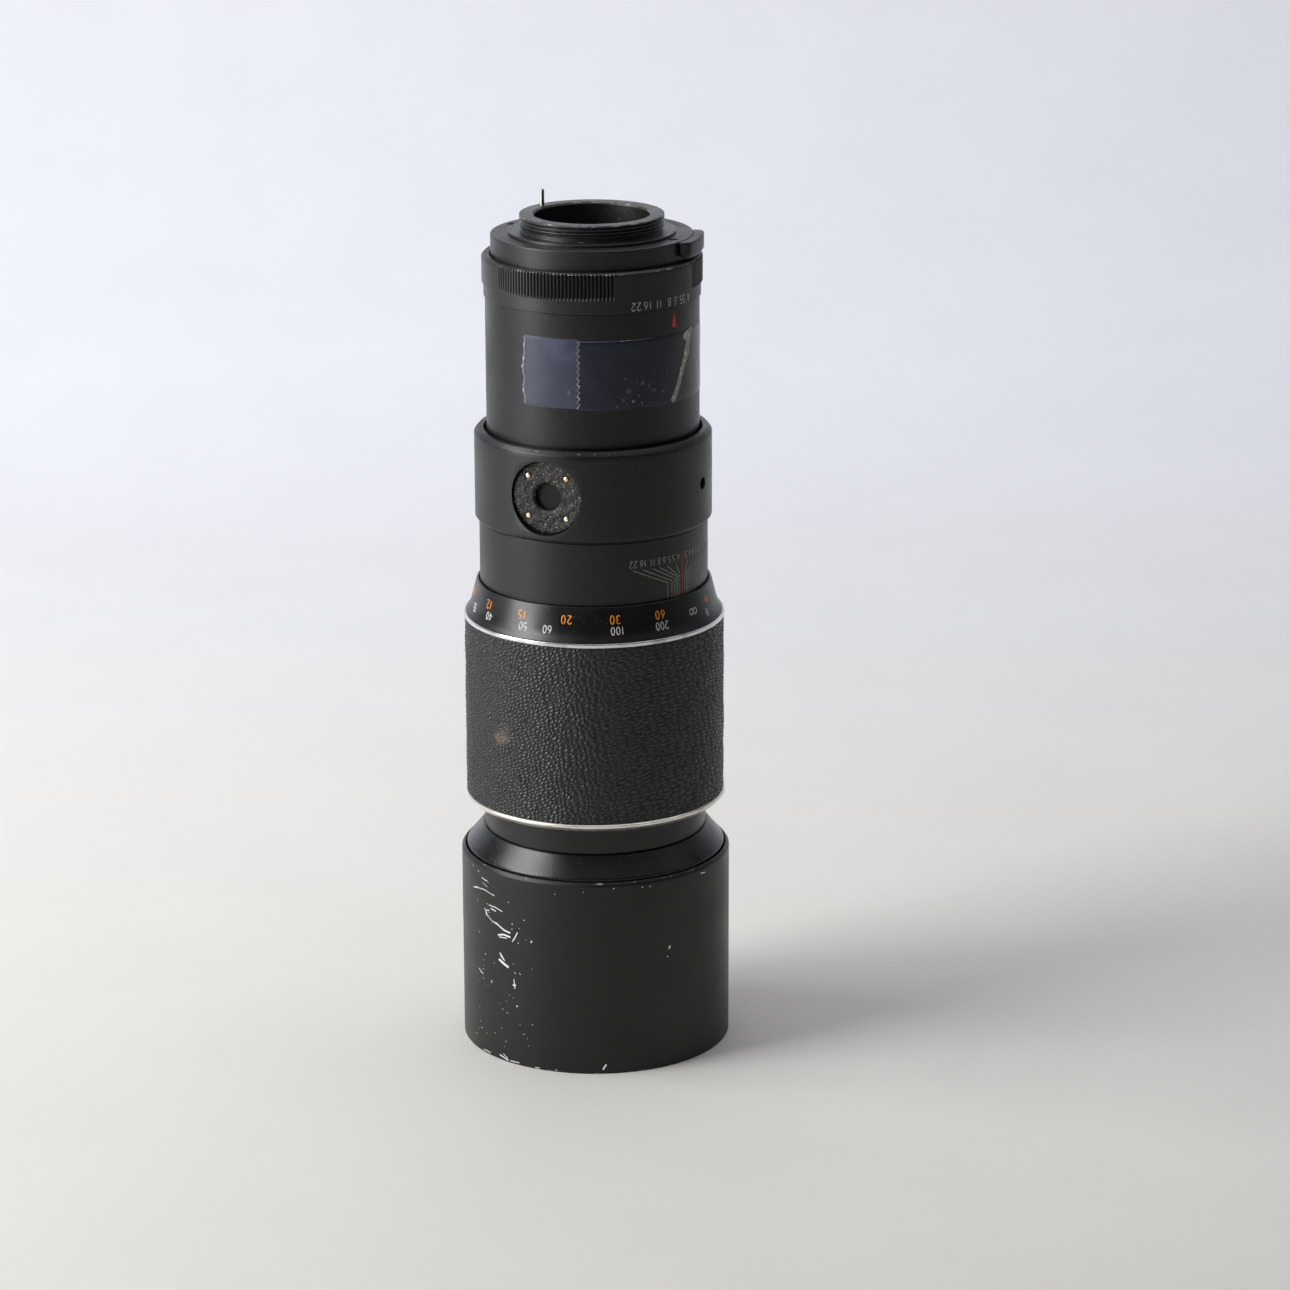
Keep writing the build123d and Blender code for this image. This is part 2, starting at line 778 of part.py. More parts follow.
with BuildPart() as aperture_ring:
    revolve(
        half_section(
            (ring_journal_bore, aperture_z),
            (skirt_radius, aperture_z),
            (skirt_radius, knurl_z),
            (knurl_radius, knurl_z),
            (knurl_radius, knurl_top_z - knurl_chamfer),
            (knurl_radius - knurl_chamfer, knurl_top_z),
            (drum_radius + free_gap, knurl_top_z),
            (drum_radius + free_gap, lip_z),
            (ring_journal_bore, lip_z),
        ),
        axis=Axis.Z,
    )
    with BuildSketch(Plane.XY.offset(knurl_z - 0.2)):
        for sector in range(knurl_sectors):
            sector_bearing = knurl_bearing + sector * 360 / knurl_sectors
            for rib in range(knurl_ribs):
                groove_bearing = sector_bearing + (rib - (knurl_ribs - 1) / 2) * knurl_pitch
                groove_x, groove_y, _ = compass(groove_bearing, knurl_radius, 0)
                with Locations((groove_x, groove_y)):
                    Circle(knurl_groove)
    extrude(amount=knurl_length - knurl_chamfer, mode=Mode.SUBTRACT)
    with BuildSketch(facing(link_bearing, drum_journal - 1, link_z)):
        Circle(link_radius)
    extrude(amount=knurl_radius - 0.5 - drum_journal, mode=Mode.SUBTRACT)
finish(aperture_ring, "aperture_ring")

with BuildPart() as aperture_link_pin:
    with BuildSketch(facing(link_bearing, drive_tube_bore, link_z)):
        Circle(link_radius)
    extrude(amount=knurl_radius - 1.5 - drive_tube_bore)
finish(aperture_link_pin, "aperture_link_pin")

housing_z = barrel_top_z - 7.0
plate_thickness = 2.0
mount_spigot_radius = 20.0
mount_spigot_z = drum_top_z - 5.0
drum_chamfer = 0.4
housing_top_z = barrel_top_z - end_gap
cover_screw_bearings = (62, -118)
cover_screw_circle = (flange_radius + drum_radius) / 2 - 0.6
cover_screw_radius = 1.1
link_slot_half = link_radius + 0.3
link_slot_margin = degrees(asin(link_radius / drum_journal)) + 1.0
switch_slot_half = 10.0
switch_foot_low = drum_top_z - 4.4
switch_foot_high = drum_top_z - 2.2

with BuildPart() as rear_housing:
    revolve(
        half_section(
            (drum_bore, housing_z),
            (barrel_bore, housing_z),
            (barrel_bore, housing_top_z),
            (drum_journal, housing_top_z),
            (drum_journal, lip_z + end_gap),
            (drum_radius, lip_z + end_gap),
            (drum_radius, drum_top_z - drum_chamfer),
            (drum_radius - drum_chamfer, drum_top_z),
            (mount_spigot_radius, drum_top_z),
            (mount_spigot_radius, drum_top_z - plate_thickness),
            (drum_bore, drum_top_z - plate_thickness),
        ),
        axis=Axis.Z,
    )
    revolve(
        box_section(
            drum_bore - 1,
            barrel_radius,
            link_z - link_slot_half,
            link_z + link_slot_half,
            bearing=link_bearing + aperture_min - link_slot_margin,
        ),
        axis=Axis.Z,
        revolution_arc=aperture_max - aperture_min + 2 * link_slot_margin,
        mode=Mode.SUBTRACT,
    )
    revolve(
        box_section(
            drum_bore - 1,
            barrel_radius,
            switch_foot_low - end_gap,
            switch_foot_high + end_gap,
            bearing=switch_bearing - switch_slot_half - 0.5,
        ),
        axis=Axis.Z,
        revolution_arc=2 * switch_slot_half + switch_travel + 1,
        mode=Mode.SUBTRACT,
    )
    with BuildSketch(facing(click_bearing, drum_bore - 1, click_z)):
        Circle(click_radius + running)
    extrude(amount=4, mode=Mode.SUBTRACT)
    for screw_bearing in cover_screw_bearings:
        with BuildSketch(Plane.XY.offset(drum_top_z - plate_thickness - 1)):
            screw_x, screw_y, _ = compass(screw_bearing, cover_screw_circle, 0)
            with Locations((screw_x, screw_y)):
                Circle(cover_screw_radius)
        extrude(amount=plate_thickness + 2, mode=Mode.SUBTRACT)
finish(rear_housing, "rear_housing")

with BuildPart() as click_ball:
    click_place = compass(click_bearing, drum_journal - click_radius, click_z)
    with Locations(click_place):
        Sphere(click_radius)
finish(click_ball, "click_ball")

spring_strip = 0.25
spring_arc = 36
spring_half_width = 1.2
with BuildPart() as click_spring:
    revolve(
        box_section(
            drum_bore - spring_strip,
            drum_bore,
            click_z - spring_half_width,
            click_z + spring_half_width,
            bearing=click_bearing - spring_arc / 2,
        ),
        axis=Axis.Z,
        revolution_arc=spring_arc,
    )
finish(click_spring, "click_spring")

with BuildPart() as mount_screws:
    for screw_bearing in cover_screw_bearings:
        with BuildSketch(Plane.XY.offset(drum_top_z - plate_thickness - 1.5)):
            screw_x, screw_y, _ = compass(screw_bearing, cover_screw_circle, 0)
            with Locations((screw_x, screw_y)):
                Circle(cover_screw_radius)
        extrude(amount=plate_thickness + 1.1)
finish(mount_screws, "mount_screws")

# ---------------------------------------------------------------- screw mount
root_radius = thread_radius - thread_depth
thread_turns = 3
thread_chamfer = 0.4
thread_crest = 0.4
thread_flank = 0.3
relief_top_z = mount_z - thread_chamfer - thread_turns * thread_pitch
undercut_depth = 0.2       # lets a camera's face meet the flange inside the thread's crests
undercut_radius = thread_radius + 0.15


def thread_outline():
    """The outside of the screw mount: crests and grooves from the rear face down to the flange."""
    outline = [(thread_radius - thread_chamfer, mount_z)]
    for turn in range(thread_turns):
        crest_z = mount_z - thread_chamfer - turn * thread_pitch
        outline.append((thread_radius, crest_z))
        outline.append((thread_radius, crest_z - thread_crest))
        outline.append((root_radius, crest_z - thread_crest - thread_flank))
    outline.append((thread_radius, relief_top_z))
    outline.append((root_radius, relief_top_z - thread_flank))
    outline.append((root_radius, flange_z - undercut_depth))
    outline.append((undercut_radius, flange_z - undercut_depth))
    outline.append((undercut_radius, flange_z))
    return outline


pin_x, pin_y, _ = compass(pin_bearing, stop_pin_circle, 0)
pin_shoulder_z = drum_top_z + 1.0
pin_flange_radius = 1.15
pin_well_radius = pin_flange_radius + 0.1

with BuildPart() as lens_mount:
    revolve(
        half_section(
            (mount_bore, mount_z - thread_chamfer),
            (mount_bore + thread_chamfer, mount_z),
            *thread_outline(),
            (flange_radius, flange_z),
            (flange_radius, drum_top_z),
            (mount_spigot_radius, drum_top_z),
            (mount_spigot_radius, mount_spigot_z),
            (mount_bore, mount_spigot_z),
        ),
        axis=Axis.Z,
    )
    with BuildSketch(Plane.XY.offset(mount_spigot_z - 1)):
        with Locations((pin_x, pin_y)):
            Circle(stop_pin_radius + running)
    extrude(amount=20, mode=Mode.SUBTRACT)
    with BuildSketch(Plane.XY.offset(mount_spigot_z - 1)):
        with Locations((pin_x, pin_y)):
            Circle(pin_well_radius)
    extrude(amount=pin_shoulder_z - mount_spigot_z + 1, mode=Mode.SUBTRACT)
finish(lens_mount, "lens_mount")

pin_flange_top_z = pin_shoulder_z - end_gap
pin_flange = 0.6
spring_z = drum_top_z - 9.0
spring_top_z = pin_flange_top_z - pin_flange
with BuildPart() as stop_down_pin:
    with BuildSketch(Plane.XY.offset(spring_top_z)):
        with Locations((pin_x, pin_y)):
            Circle(pin_flange_radius)
    extrude(amount=pin_flange)
    with BuildSketch(Plane.XY.offset(pin_flange_top_z)):
        with Locations((pin_x, pin_y)):
            Circle(stop_pin_radius)
    extrude(amount=mount_z + stop_pin_showing - pin_flange_top_z)
    fillet(stop_down_pin.faces().sort_by(Axis.Z)[-1].edges(), 0.3)
finish(stop_down_pin, "stop_down_pin")

wire_radius = 0.16
coil_radius = 0.85
coil_pitch = 1.6
with BuildPart() as stop_down_spring:
    with BuildLine():
        coil = Helix(
            pitch=coil_pitch,
            height=spring_top_z - spring_z - 2 * wire_radius,
            radius=coil_radius,
            center=(pin_x, pin_y, spring_z + wire_radius),
        )
    with BuildSketch(Plane(origin=coil @ 0, z_dir=coil % 0)):
        Circle(wire_radius)
    sweep(path=coil, is_frenet=True)
finish(stop_down_spring, "stop_down_spring")

# ---------------------------------------------------------------- automatic/manual switch
tab_low = drum_top_z - 5.2
tab_high = drum_top_z - 0.1
tab_taper = 1.0
tab_edge = 0.5
tab_inner = drum_radius + 0.2
tab_outer = drum_radius + switch_reach
switch_tab_start = switch_bearing - switch_span / 2
with BuildPart() as mode_switch:
    revolve(
        half_section(
            (tab_inner, tab_low + tab_taper),
            (tab_outer - tab_taper, tab_low),
            (tab_outer, tab_low + tab_taper),
            (tab_outer, tab_high - tab_edge),
            (tab_outer - tab_edge, tab_high),
            (tab_inner, tab_high),
            bearing=switch_tab_start,
        ),
        axis=Axis.Z,
        revolution_arc=switch_span,
    )
    revolve(
        box_section(
            drum_bore - 0.8,
            drum_radius + 0.6,
            switch_foot_low,
            switch_foot_high,
            bearing=switch_bearing - switch_slot_half,
        ),
        axis=Axis.Z,
        revolution_arc=2 * switch_slot_half,
    )
finish(mode_switch, "mode_switch")

# ================================================================ rear lens group
rear_cell_wall = 1.0
rear_glass_radius = mount_bore - 0.6
rear_cell_radius = rear_glass_radius + rear_cell_wall
rear_seat_width = 1.6
rear_spacer_bore = rear_glass_radius - rear_seat_width
rear_cell_z = rim_top_z + 6.0
rear_cell_top_z = mount_spigot_z
rear_flange = 1.5
fourth_z = rear_cell_z + 1.5
fourth_top_z = fourth_z + 2.5
fourth_curve = -4.334 * rear_glass_radius
fourth_rear_curve = 5.573 * rear_glass_radius
rear_lens_z = rear_cell_top_z - 6.0
rear_lens_top_z = rear_lens_z + 2.6
rear_lens_curve = -3.715 * rear_glass_radius
rear_lens_rear_curve = 9.288 * rear_glass_radius

with BuildPart() as rear_cell:
    revolve(
        half_section(
            (rear_glass_radius, rear_cell_z),
            (rear_cell_radius, rear_cell_z),
            (rear_cell_radius, spring_z - rear_flange),
            (drum_bore, spring_z - rear_flange),
            (drum_bore, spring_z),
            (rear_cell_radius, spring_z),
            (rear_cell_radius, rear_cell_top_z),
            (rear_glass_radius, rear_cell_top_z),
        ),
        axis=Axis.Z,
    )
finish(rear_cell, "rear_cell")

lens_element(
    "fourth_element",
    rear_glass_radius,
    fourth_z,
    fourth_top_z,
    fourth_curve,
    fourth_rear_curve,
)
plain_ring(
    "rear_group_spacer",
    rear_spacer_bore,
    rear_glass_radius,
    fourth_top_z + rim_drop(fourth_rear_curve, rear_glass_radius, rear_seat_width),
    rear_lens_z,
)
lens_element(
    "rear_element",
    rear_glass_radius,
    rear_lens_z,
    rear_lens_top_z,
    rear_lens_curve,
    rear_lens_rear_curve,
)
plain_ring(
    "rear_retaining_ring",
    rear_spacer_bore,
    rear_glass_radius,
    rear_lens_top_z + rim_drop(rear_lens_rear_curve, rear_glass_radius, rear_seat_width),
    rear_cell_top_z - 0.6,
)
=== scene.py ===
import math

import bmesh
import bpy
import numpy as np
from bpy.props import FloatProperty, FloatVectorProperty, IntProperty, PointerProperty
from mathutils import Matrix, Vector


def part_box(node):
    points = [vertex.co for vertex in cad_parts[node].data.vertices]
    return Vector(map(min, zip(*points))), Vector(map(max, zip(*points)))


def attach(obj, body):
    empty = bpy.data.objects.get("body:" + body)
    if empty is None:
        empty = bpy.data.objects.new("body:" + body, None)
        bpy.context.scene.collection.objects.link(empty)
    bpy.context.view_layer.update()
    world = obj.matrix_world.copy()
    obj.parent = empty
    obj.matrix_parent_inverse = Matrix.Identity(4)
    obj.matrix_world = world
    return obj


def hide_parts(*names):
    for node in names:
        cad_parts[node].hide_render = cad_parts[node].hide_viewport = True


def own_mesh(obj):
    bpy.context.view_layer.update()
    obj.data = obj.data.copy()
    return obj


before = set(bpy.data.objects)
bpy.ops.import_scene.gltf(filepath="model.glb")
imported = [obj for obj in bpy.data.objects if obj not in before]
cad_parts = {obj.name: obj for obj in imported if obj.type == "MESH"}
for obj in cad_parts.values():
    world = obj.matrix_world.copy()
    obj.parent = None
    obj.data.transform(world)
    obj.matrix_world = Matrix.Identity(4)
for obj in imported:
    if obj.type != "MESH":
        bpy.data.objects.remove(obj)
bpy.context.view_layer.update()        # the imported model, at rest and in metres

bl_info = {
    "name": "Telephoto Lens Finisher",
    "version": (1, 0, 0),
    "blender": (4, 5, 0),
    "location": "3D View > Sidebar > Lens",
    "description": "Makes the shown surfaces and finishes of a screw-mount telephoto lens on its hood",
    "category": "Add Mesh",
}

MM = 0.001               # every size below is in millimetres, and meshes are made in metres


# ---------------------------------------------------------------- sizes read from the frame
def reach(node):
    """How far a node reaches from the axis, in millimetres."""
    low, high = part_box(node)
    return max(abs(low.x), abs(high.x), abs(low.y), abs(high.y)) / MM


def foot(node):
    """The height of a node's lowest point, in millimetres."""
    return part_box(node)[0].z / MM


def top(node):
    """The height of a node's highest point, in millimetres."""
    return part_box(node)[1].z / MM


hood_radius = reach("hood_tube")
hood_bore = reach("hood_guide_ring")
hood_top = top("hood_tube")
front_low = foot("front_barrel")
shoulder_radius = reach("front_barrel")
front_radius = shoulder_radius - 0.5
shoulder_top = top("front_barrel")
neck_radius = reach("inner_barrel")
neck_low = foot("inner_barrel")
slide_top = top("inner_barrel")
leather_radius = reach("grip_leather")
grip_radius = leather_radius - 0.4
leather_low = foot("grip_leather")
leather_top = top("grip_leather")
ring_low = foot("lower_trim_ring")
cone_low = top("upper_trim_ring")
cone_top = top("focus_ring")
scale_radius = reach("guide_barrel")
scale_low = foot("guide_barrel")
scale_top = top("guide_barrel")
journal_radius = reach("collar_journal")
journal_top = top("collar_journal")
collar_radius = reach("tripod_collar")
collar_low = foot("tripod_collar")
collar_top = top("tripod_collar")
barrel_radius = reach("rear_barrel")
barrel_top = top("rear_barrel")
knurl_radius = reach("aperture_ring")
aperture_low = foot("aperture_ring")
aperture_top = top("aperture_ring")
skirt_radius = knurl_radius - 0.5
drum_radius = barrel_radius - 1.75
drum_top = top("rear_housing")
flange_top = drum_top + 0.8
flange_radius = reach("lens_mount")
mount_top = top("lens_mount")
mount_bore = 16.75
thread_radius = 21.0
socket_bearing = -24.2
socket_height = collar_low + 13.0
shoe_bearing = socket_bearing + 90
pin_bearing = -128.5
pin_circle = 18.4
index_bearing = 48.5
line_bearing = 49.7


# ---------------------------------------------------------------- surfaces as arrays
def bearing_point(bearing, radius, height):
    """Points at bearings in degrees round the axis from -Y towards +X, a radius and a height."""
    angle = np.radians(bearing)
    x = radius * np.sin(angle)
    y = -radius * np.cos(angle)
    z = height + np.zeros_like(x)
    return np.stack([x, y, z], -1)


def ripple(u, v, wavelength, seed, waves=7):
    """Smooth random relief from -1 to 1: a mean of sine waves in random directions whose lengths
    are near one wavelength."""
    rng = np.random.default_rng(seed)
    total = np.zeros(np.broadcast(u, v).shape)
    for turn, stretch, phase in zip(
        rng.uniform(0, np.pi, waves), rng.uniform(0.7, 1.5, waves), rng.uniform(0, 2 * np.pi, waves)
    ):
        along = u * np.cos(turn) + v * np.sin(turn)
        total = total + np.sin(2 * np.pi * along / (wavelength * stretch) + phase)
    return total / math.sqrt(waves) / 1.6


def rounded(corners, steps=4):
    """The closed profile of a turned part from (radius, height, fillet) corners.  Each corner gives
    way to a quadratic curve between points one fillet away along its two sides, and a support
    point further out on each side keeps the flats flat."""
    points = np.array([corner[:2] for corner in corners], float)
    share = np.linspace(0, 1, steps + 1)[:, None]
    pieces = []
    for here, back, ahead, corner in zip(
        points, np.roll(points, 1, 0), np.roll(points, -1, 0), corners
    ):
        side_back = back - here
        side_ahead = ahead - here
        long_back = np.linalg.norm(side_back)
        long_ahead = np.linalg.norm(side_ahead)
        fillet = min(corner[2], 0.42 * long_back, 0.42 * long_ahead)
        start = here + side_back / long_back * fillet
        end = here + side_ahead / long_ahead * fillet
        support = min(1.5 * fillet, 0.47 * min(long_back, long_ahead))
        pieces.append((here + side_back / long_back * support)[None])
        pieces.append((1 - share) ** 2 * start + 2 * share * (1 - share) * here + share**2 * end)
        pieces.append((here + side_ahead / long_ahead * support)[None])
    return np.concatenate(pieces)


def denser(profile, low, high, radius, rows):
    """The profile with its straight run at a radius between two heights divided into rows."""
    heights = profile[:, 1]
    on_run = (np.abs(profile[:, 0] - radius) < 0.02) & (heights > low - 0.01) & (heights < high + 0.01)
    first, last = np.flatnonzero(on_run)[[0, -1]]
    extra = np.linspace(profile[first], profile[last], rows)
    return np.concatenate([profile[:first], extra, profile[last + 1 :]])


def grid_faces(rows, columns, close_rows, close_columns):
    """Quads of a grid of rows and columns, numbered row by row."""
    row = np.arange(rows if close_rows else rows - 1)[:, None]
    column = np.arange(columns if close_columns else columns - 1)[None, :]
    next_row = (row + 1) % rows
    next_column = (column + 1) % columns
    corners = [
        row * columns + column,
        row * columns + next_column,
        next_row * columns + next_column,
        next_row * columns + column,
    ]
    return np.stack([np.broadcast_to(c, corners[1].shape) for c in corners], -1).reshape(-1, 4)


def signed_volume(points, faces):
    """Six times the volume that the faces enclose, below nought when they face inwards."""
    a, b, c = points[faces[:, 0]], points[faces[:, 1]], points[faces[:, 2]]
    total = np.einsum("ij,ij->", a, np.cross(b, c))
    if faces.shape[1] == 4:
        d = points[faces[:, 3]]
        total += np.einsum("ij,ij->", a, np.cross(c, d))
    return total


def facing_out(points, faces):
    """The faces, turned over when they enclose their volume inwards."""
    return faces[:, ::-1] if signed_volume(points, faces) < 0 else faces


def turned(profile, columns=256, swell=None, first_bearing=0.0):
    """A closed (radius, height) profile carried round the axis.  The point of row i and column j has
    the row's radius, plus the swell there, at j equal steps of bearing."""
    bearings = first_bearing + np.arange(columns) * 360 / columns
    radius = profile[:, 0][:, None] + (0 if swell is None else swell)
    radius = radius + np.zeros((1, columns))
    points = bearing_point(bearings[None, :], radius, profile[:, 1][:, None])
    points = points.reshape(-1, 3)
    faces = grid_faces(len(profile), columns, True, True)
    return [(points, facing_out(points, faces))]


def turned_solid(profile, columns=48):
    """An open profile from the axis back to the axis, carried round it, with a fan at each pole."""
    inner = profile[1:-1]
    bearings = np.arange(columns) * 360 / columns
    points = bearing_point(bearings[None, :], inner[:, 0][:, None], inner[:, 1][:, None])
    points = points.reshape(-1, 3)
    count = len(points)
    poles = np.array([[0, 0, profile[0, 1]], [0, 0, profile[-1, 1]]])
    points = np.concatenate([points, poles])
    faces = grid_faces(len(inner), columns, False, True)
    here = np.arange(columns)
    beyond = (here + 1) % columns
    last = (len(inner) - 1) * columns
    low_fan = np.stack([beyond, here, np.full(columns, count)], -1)
    high_fan = np.stack([last + here, last + beyond, np.full(columns, count + 1)], -1)
    volume = signed_volume(points, faces) + signed_volume(points, np.concatenate([low_fan, high_fan]))
    if volume < 0:
        faces, low_fan, high_fan = faces[:, ::-1], low_fan[:, ::-1], high_fan[:, ::-1]
    return [(points, faces), (None, np.concatenate([low_fan, high_fan]))]


def slab(upper, lower):
    """A thin closed piece between two grids of points with the same rows and columns."""
    rows, columns = upper.shape[:2]
    points = np.concatenate([upper.reshape(-1, 3), lower.reshape(-1, 3)])
    half = rows * columns
    over = grid_faces(rows, columns, False, False)
    index = np.arange(half).reshape(rows, columns)
    rim = np.concatenate([index[0], index[1:, -1], index[-1, -2::-1], index[-2:0:-1, 0]])
    after = np.roll(rim, -1)
    edge = np.stack([rim, after, after + half, rim + half], -1)
    faces = np.concatenate([over, over[:, ::-1] + half, edge[:, ::-1]])
    return [(points, facing_out(points, faces))]


def ribbon(line, width, radius_at, lift, closed=False):
    """A flat bar of one width laid on the lens along a line of (distance round, height) points.
    Across the line it reaches half the width each way, and at open ends it narrows as a circle
    does, so that they are round."""
    line = np.asarray(line, float)
    if closed:
        ahead, back = np.roll(line, -1, 0), np.roll(line, 1, 0)
        half = np.full(len(line), width / 2)
    else:
        gaps = np.linalg.norm(np.diff(line, axis=0), axis=1)
        run = np.concatenate([[0], np.cumsum(gaps)])
        cap = width / 2 * np.array([0.0, 0.08, 0.3, 0.62, 1.0])
        cap = np.minimum(cap, run[-1] * 0.45)
        inner = run[(run > cap[-1] * 1.05) & (run < run[-1] - cap[-1] * 1.05)]
        stations = np.concatenate([cap, inner, run[-1] - cap[::-1]])
        line = np.stack([np.interp(stations, run, line[:, k]) for k in range(2)], -1)
        from_end = np.minimum(stations, run[-1] - stations)
        close = np.clip(1 - from_end / (width / 2), 0, 1)
        half = width / 2 * np.sqrt(np.clip(1 - close**2, 0.02, 1))
        ahead = np.concatenate([line[1:], line[-1:]])
        back = np.concatenate([line[:1], line[:-1]])
    along = ahead - back
    along = along / np.linalg.norm(along, axis=1)[:, None]
    across = np.stack([-along[:, 1], along[:, 0]], -1) * half[:, None]
    edges = [line + across, line - across]
    middle = radius_at(line[:, 1].mean())
    loops = []
    for edge, height in ((edges[0], lift), (edges[1], lift), (edges[1], -0.02), (edges[0], -0.02)):
        bearing = np.degrees(edge[:, 0] / middle)
        loops.append(bearing_point(bearing, radius_at(edge[:, 1]) + height, edge[:, 1]))
    points = np.stack(loops, 1).reshape(-1, 3)
    faces = grid_faces(len(line), 4, closed, True)
    if not closed:
        last = (len(line) - 1) * 4
        faces = np.concatenate([faces, [[3, 2, 1, 0], [last, last + 1, last + 2, last + 3]]])
    return points, facing_out(points, faces)


def stood(parts, bearing, height):
    """Parts made round the Z axis, turned to point outward along a bearing at a height."""
    angle = math.radians(bearing)
    out = np.array([math.sin(angle), -math.cos(angle), 0])
    side = np.array([math.cos(angle), math.sin(angle), 0])
    moved = []
    for points, faces in parts:
        if points is not None:
            x, y, z = points.T
            points = x[:, None] * side + y[:, None] * [0, 0, 1] + z[:, None] * out
            points = points + [0, 0, height]
            if np.linalg.det([side, [0, 0, 1], out]) < 0:
                faces = faces[:, ::-1]
        elif np.linalg.det([side, [0, 0, 1], out]) < 0:
            faces = faces[:, ::-1]
        moved.append((points, faces))
    return moved


def piece(name, parts, look, body, crease=38.0):
    """One object from (points, faces) parts in millimetres.  A part without points adds faces to
    the one before it.  It rides on a body, takes a look by its name, and shades smooth except at
    creases."""
    all_points, all_faces, start, count = [], [], 0, 0
    for points, faces in parts:
        if points is not None:
            start = count
            all_points.append(points)
            count += len(points)
        all_faces.extend((faces + start).tolist())
    mesh = bpy.data.meshes.new(name)
    mesh.from_pydata((np.concatenate(all_points) * MM).tolist(), [], all_faces)
    mesh.polygons.foreach_set("use_smooth", np.ones(len(mesh.polygons), bool))
    mesh.set_sharp_from_angle(angle=math.radians(crease))
    mesh.update()
    made = bpy.data.objects.new(name, mesh)
    bpy.context.scene.collection.objects.link(made)
    if look is not None:
        mesh.materials.append(finish(look))
        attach(made, body)
    return made


def outward(made, crease):
    """Turns a closed piece's faces outward."""
    closed = bmesh.new()
    closed.from_mesh(made.data)
    bmesh.ops.recalc_face_normals(closed, faces=closed.faces)
    closed.to_mesh(made.data)
    closed.free()
    made.data.set_sharp_from_angle(angle=math.radians(crease))


def cut(made, *cutters, crease=38.0):
    """Takes solids out of a piece, then removes the solids that did the cutting."""
    for part in cutters:
        tool = piece(made.name + "_tool", part, None, None)
        change = made.modifiers.new("cut", "BOOLEAN")
        change.operation = "DIFFERENCE"
        change.solver = "EXACT"
        change.object = tool
        bpy.context.view_layer.update()
        shown = made.evaluated_get(bpy.context.evaluated_depsgraph_get())
        mesh = bpy.data.meshes.new_from_object(shown)
        made.modifiers.clear()
        made.data = mesh
        bpy.data.objects.remove(tool)
        mesh.polygons.foreach_set("use_smooth", np.ones(len(mesh.polygons), bool))
        mesh.set_sharp_from_angle(angle=math.radians(crease))
    return made


def rod(bearing, start, length, radius, height, columns=40):
    """A solid round bar that points outward along a bearing."""
    profile = np.array([[0, start], [radius, start], [radius, start + length], [0, start + length]])
    return stood(turned_solid(profile, columns), bearing, height)


def upright(x, y, low, high, radius, columns=32):
    """A solid round bar that stands parallel to the axis."""
    parts = turned_solid(np.array([[0, low], [radius, low], [radius, high], [0, high]]), columns)
    return shifted(parts, x, y)


def arc_block(inner, outer, low, high, start, size, columns=24):
    """A curved block between two radii, two heights and two bearings."""
    bearings = np.linspace(start, start + size, columns)[None, :]
    radii = np.array([inner, outer])[:, None]
    upper = bearing_point(bearings, radii + 0 * bearings, high)
    lower = bearing_point(bearings, radii + 0 * bearings, low)
    return slab(upper, lower)


def straight(radius):
    """A surface of one radius at every height."""
    return lambda height: radius + 0 * np.asarray(height)


def spot(bearing, circle):
    """The x and y of a place at a bearing on a circle round the axis."""
    return bearing_point(np.array(float(bearing)), circle, 0.0)[:2]


def shifted(parts, x, y):
    """Parts moved sideways, parallel to the axis."""
    return [(None if points is None else points + [x, y, 0], faces) for points, faces in parts]


# ---------------------------------------------------------------- finishes
def linear(colour):
    """An sRGB hex colour as linear red, green and blue."""
    value = np.array([int(colour[k : k + 2], 16) for k in (1, 3, 5)]) / 255
    return tuple(np.where(value <= 0.04045, value / 12.92, ((value + 0.055) / 1.055) ** 2.4))


def first_output(value):
    """A node's first output, or the value itself."""
    return value.outputs[0] if isinstance(value, bpy.types.Node) else value


def add(tree, kind, links=None, stops=(), **settings):
    """Adds a shader node with its settings, and with (position, colour) stops on a colour ramp,
    whose colours are hex or linear.  Links gives a value, a node or a socket for each input."""
    node = tree.nodes.new("ShaderNode" + kind)
    for name, value in settings.items():
        setattr(node, name, value)
    for name, value in (links or {}).items():
        value = first_output(value)
        if isinstance(value, bpy.types.NodeSocket):
            tree.links.new(value, node.inputs[name])
        else:
            node.inputs[name].default_value = value
    if stops:
        band = node.color_ramp
        while len(band.elements) < len(stops):
            band.elements.new(0.5)
        for element, (position, colour) in zip(band.elements, stops):
            element.position = position
            element.color = (*(linear(colour) if isinstance(colour, str) else colour), 1)
    return node


def started(name, roughness, metallic=0.0, **sockets):
    """A new material with its shader and output, its nodes and Object coordinates."""
    material = bpy.data.materials.new(name)
    material.use_nodes = True
    tree = material.node_tree
    tree.nodes.clear()
    links = {"Roughness": roughness, "Metallic": metallic, **sockets}
    shader = add(tree, "BsdfPrincipled", links)
    add(tree, "OutputMaterial", {"Surface": shader})
    place = add(tree, "TexCoord").outputs["Object"]
    return material, tree, place


def per_mm(size):
    """The scale of a pattern in Object coordinates whose grain is this many millimetres."""
    return 1 / (size * MM)


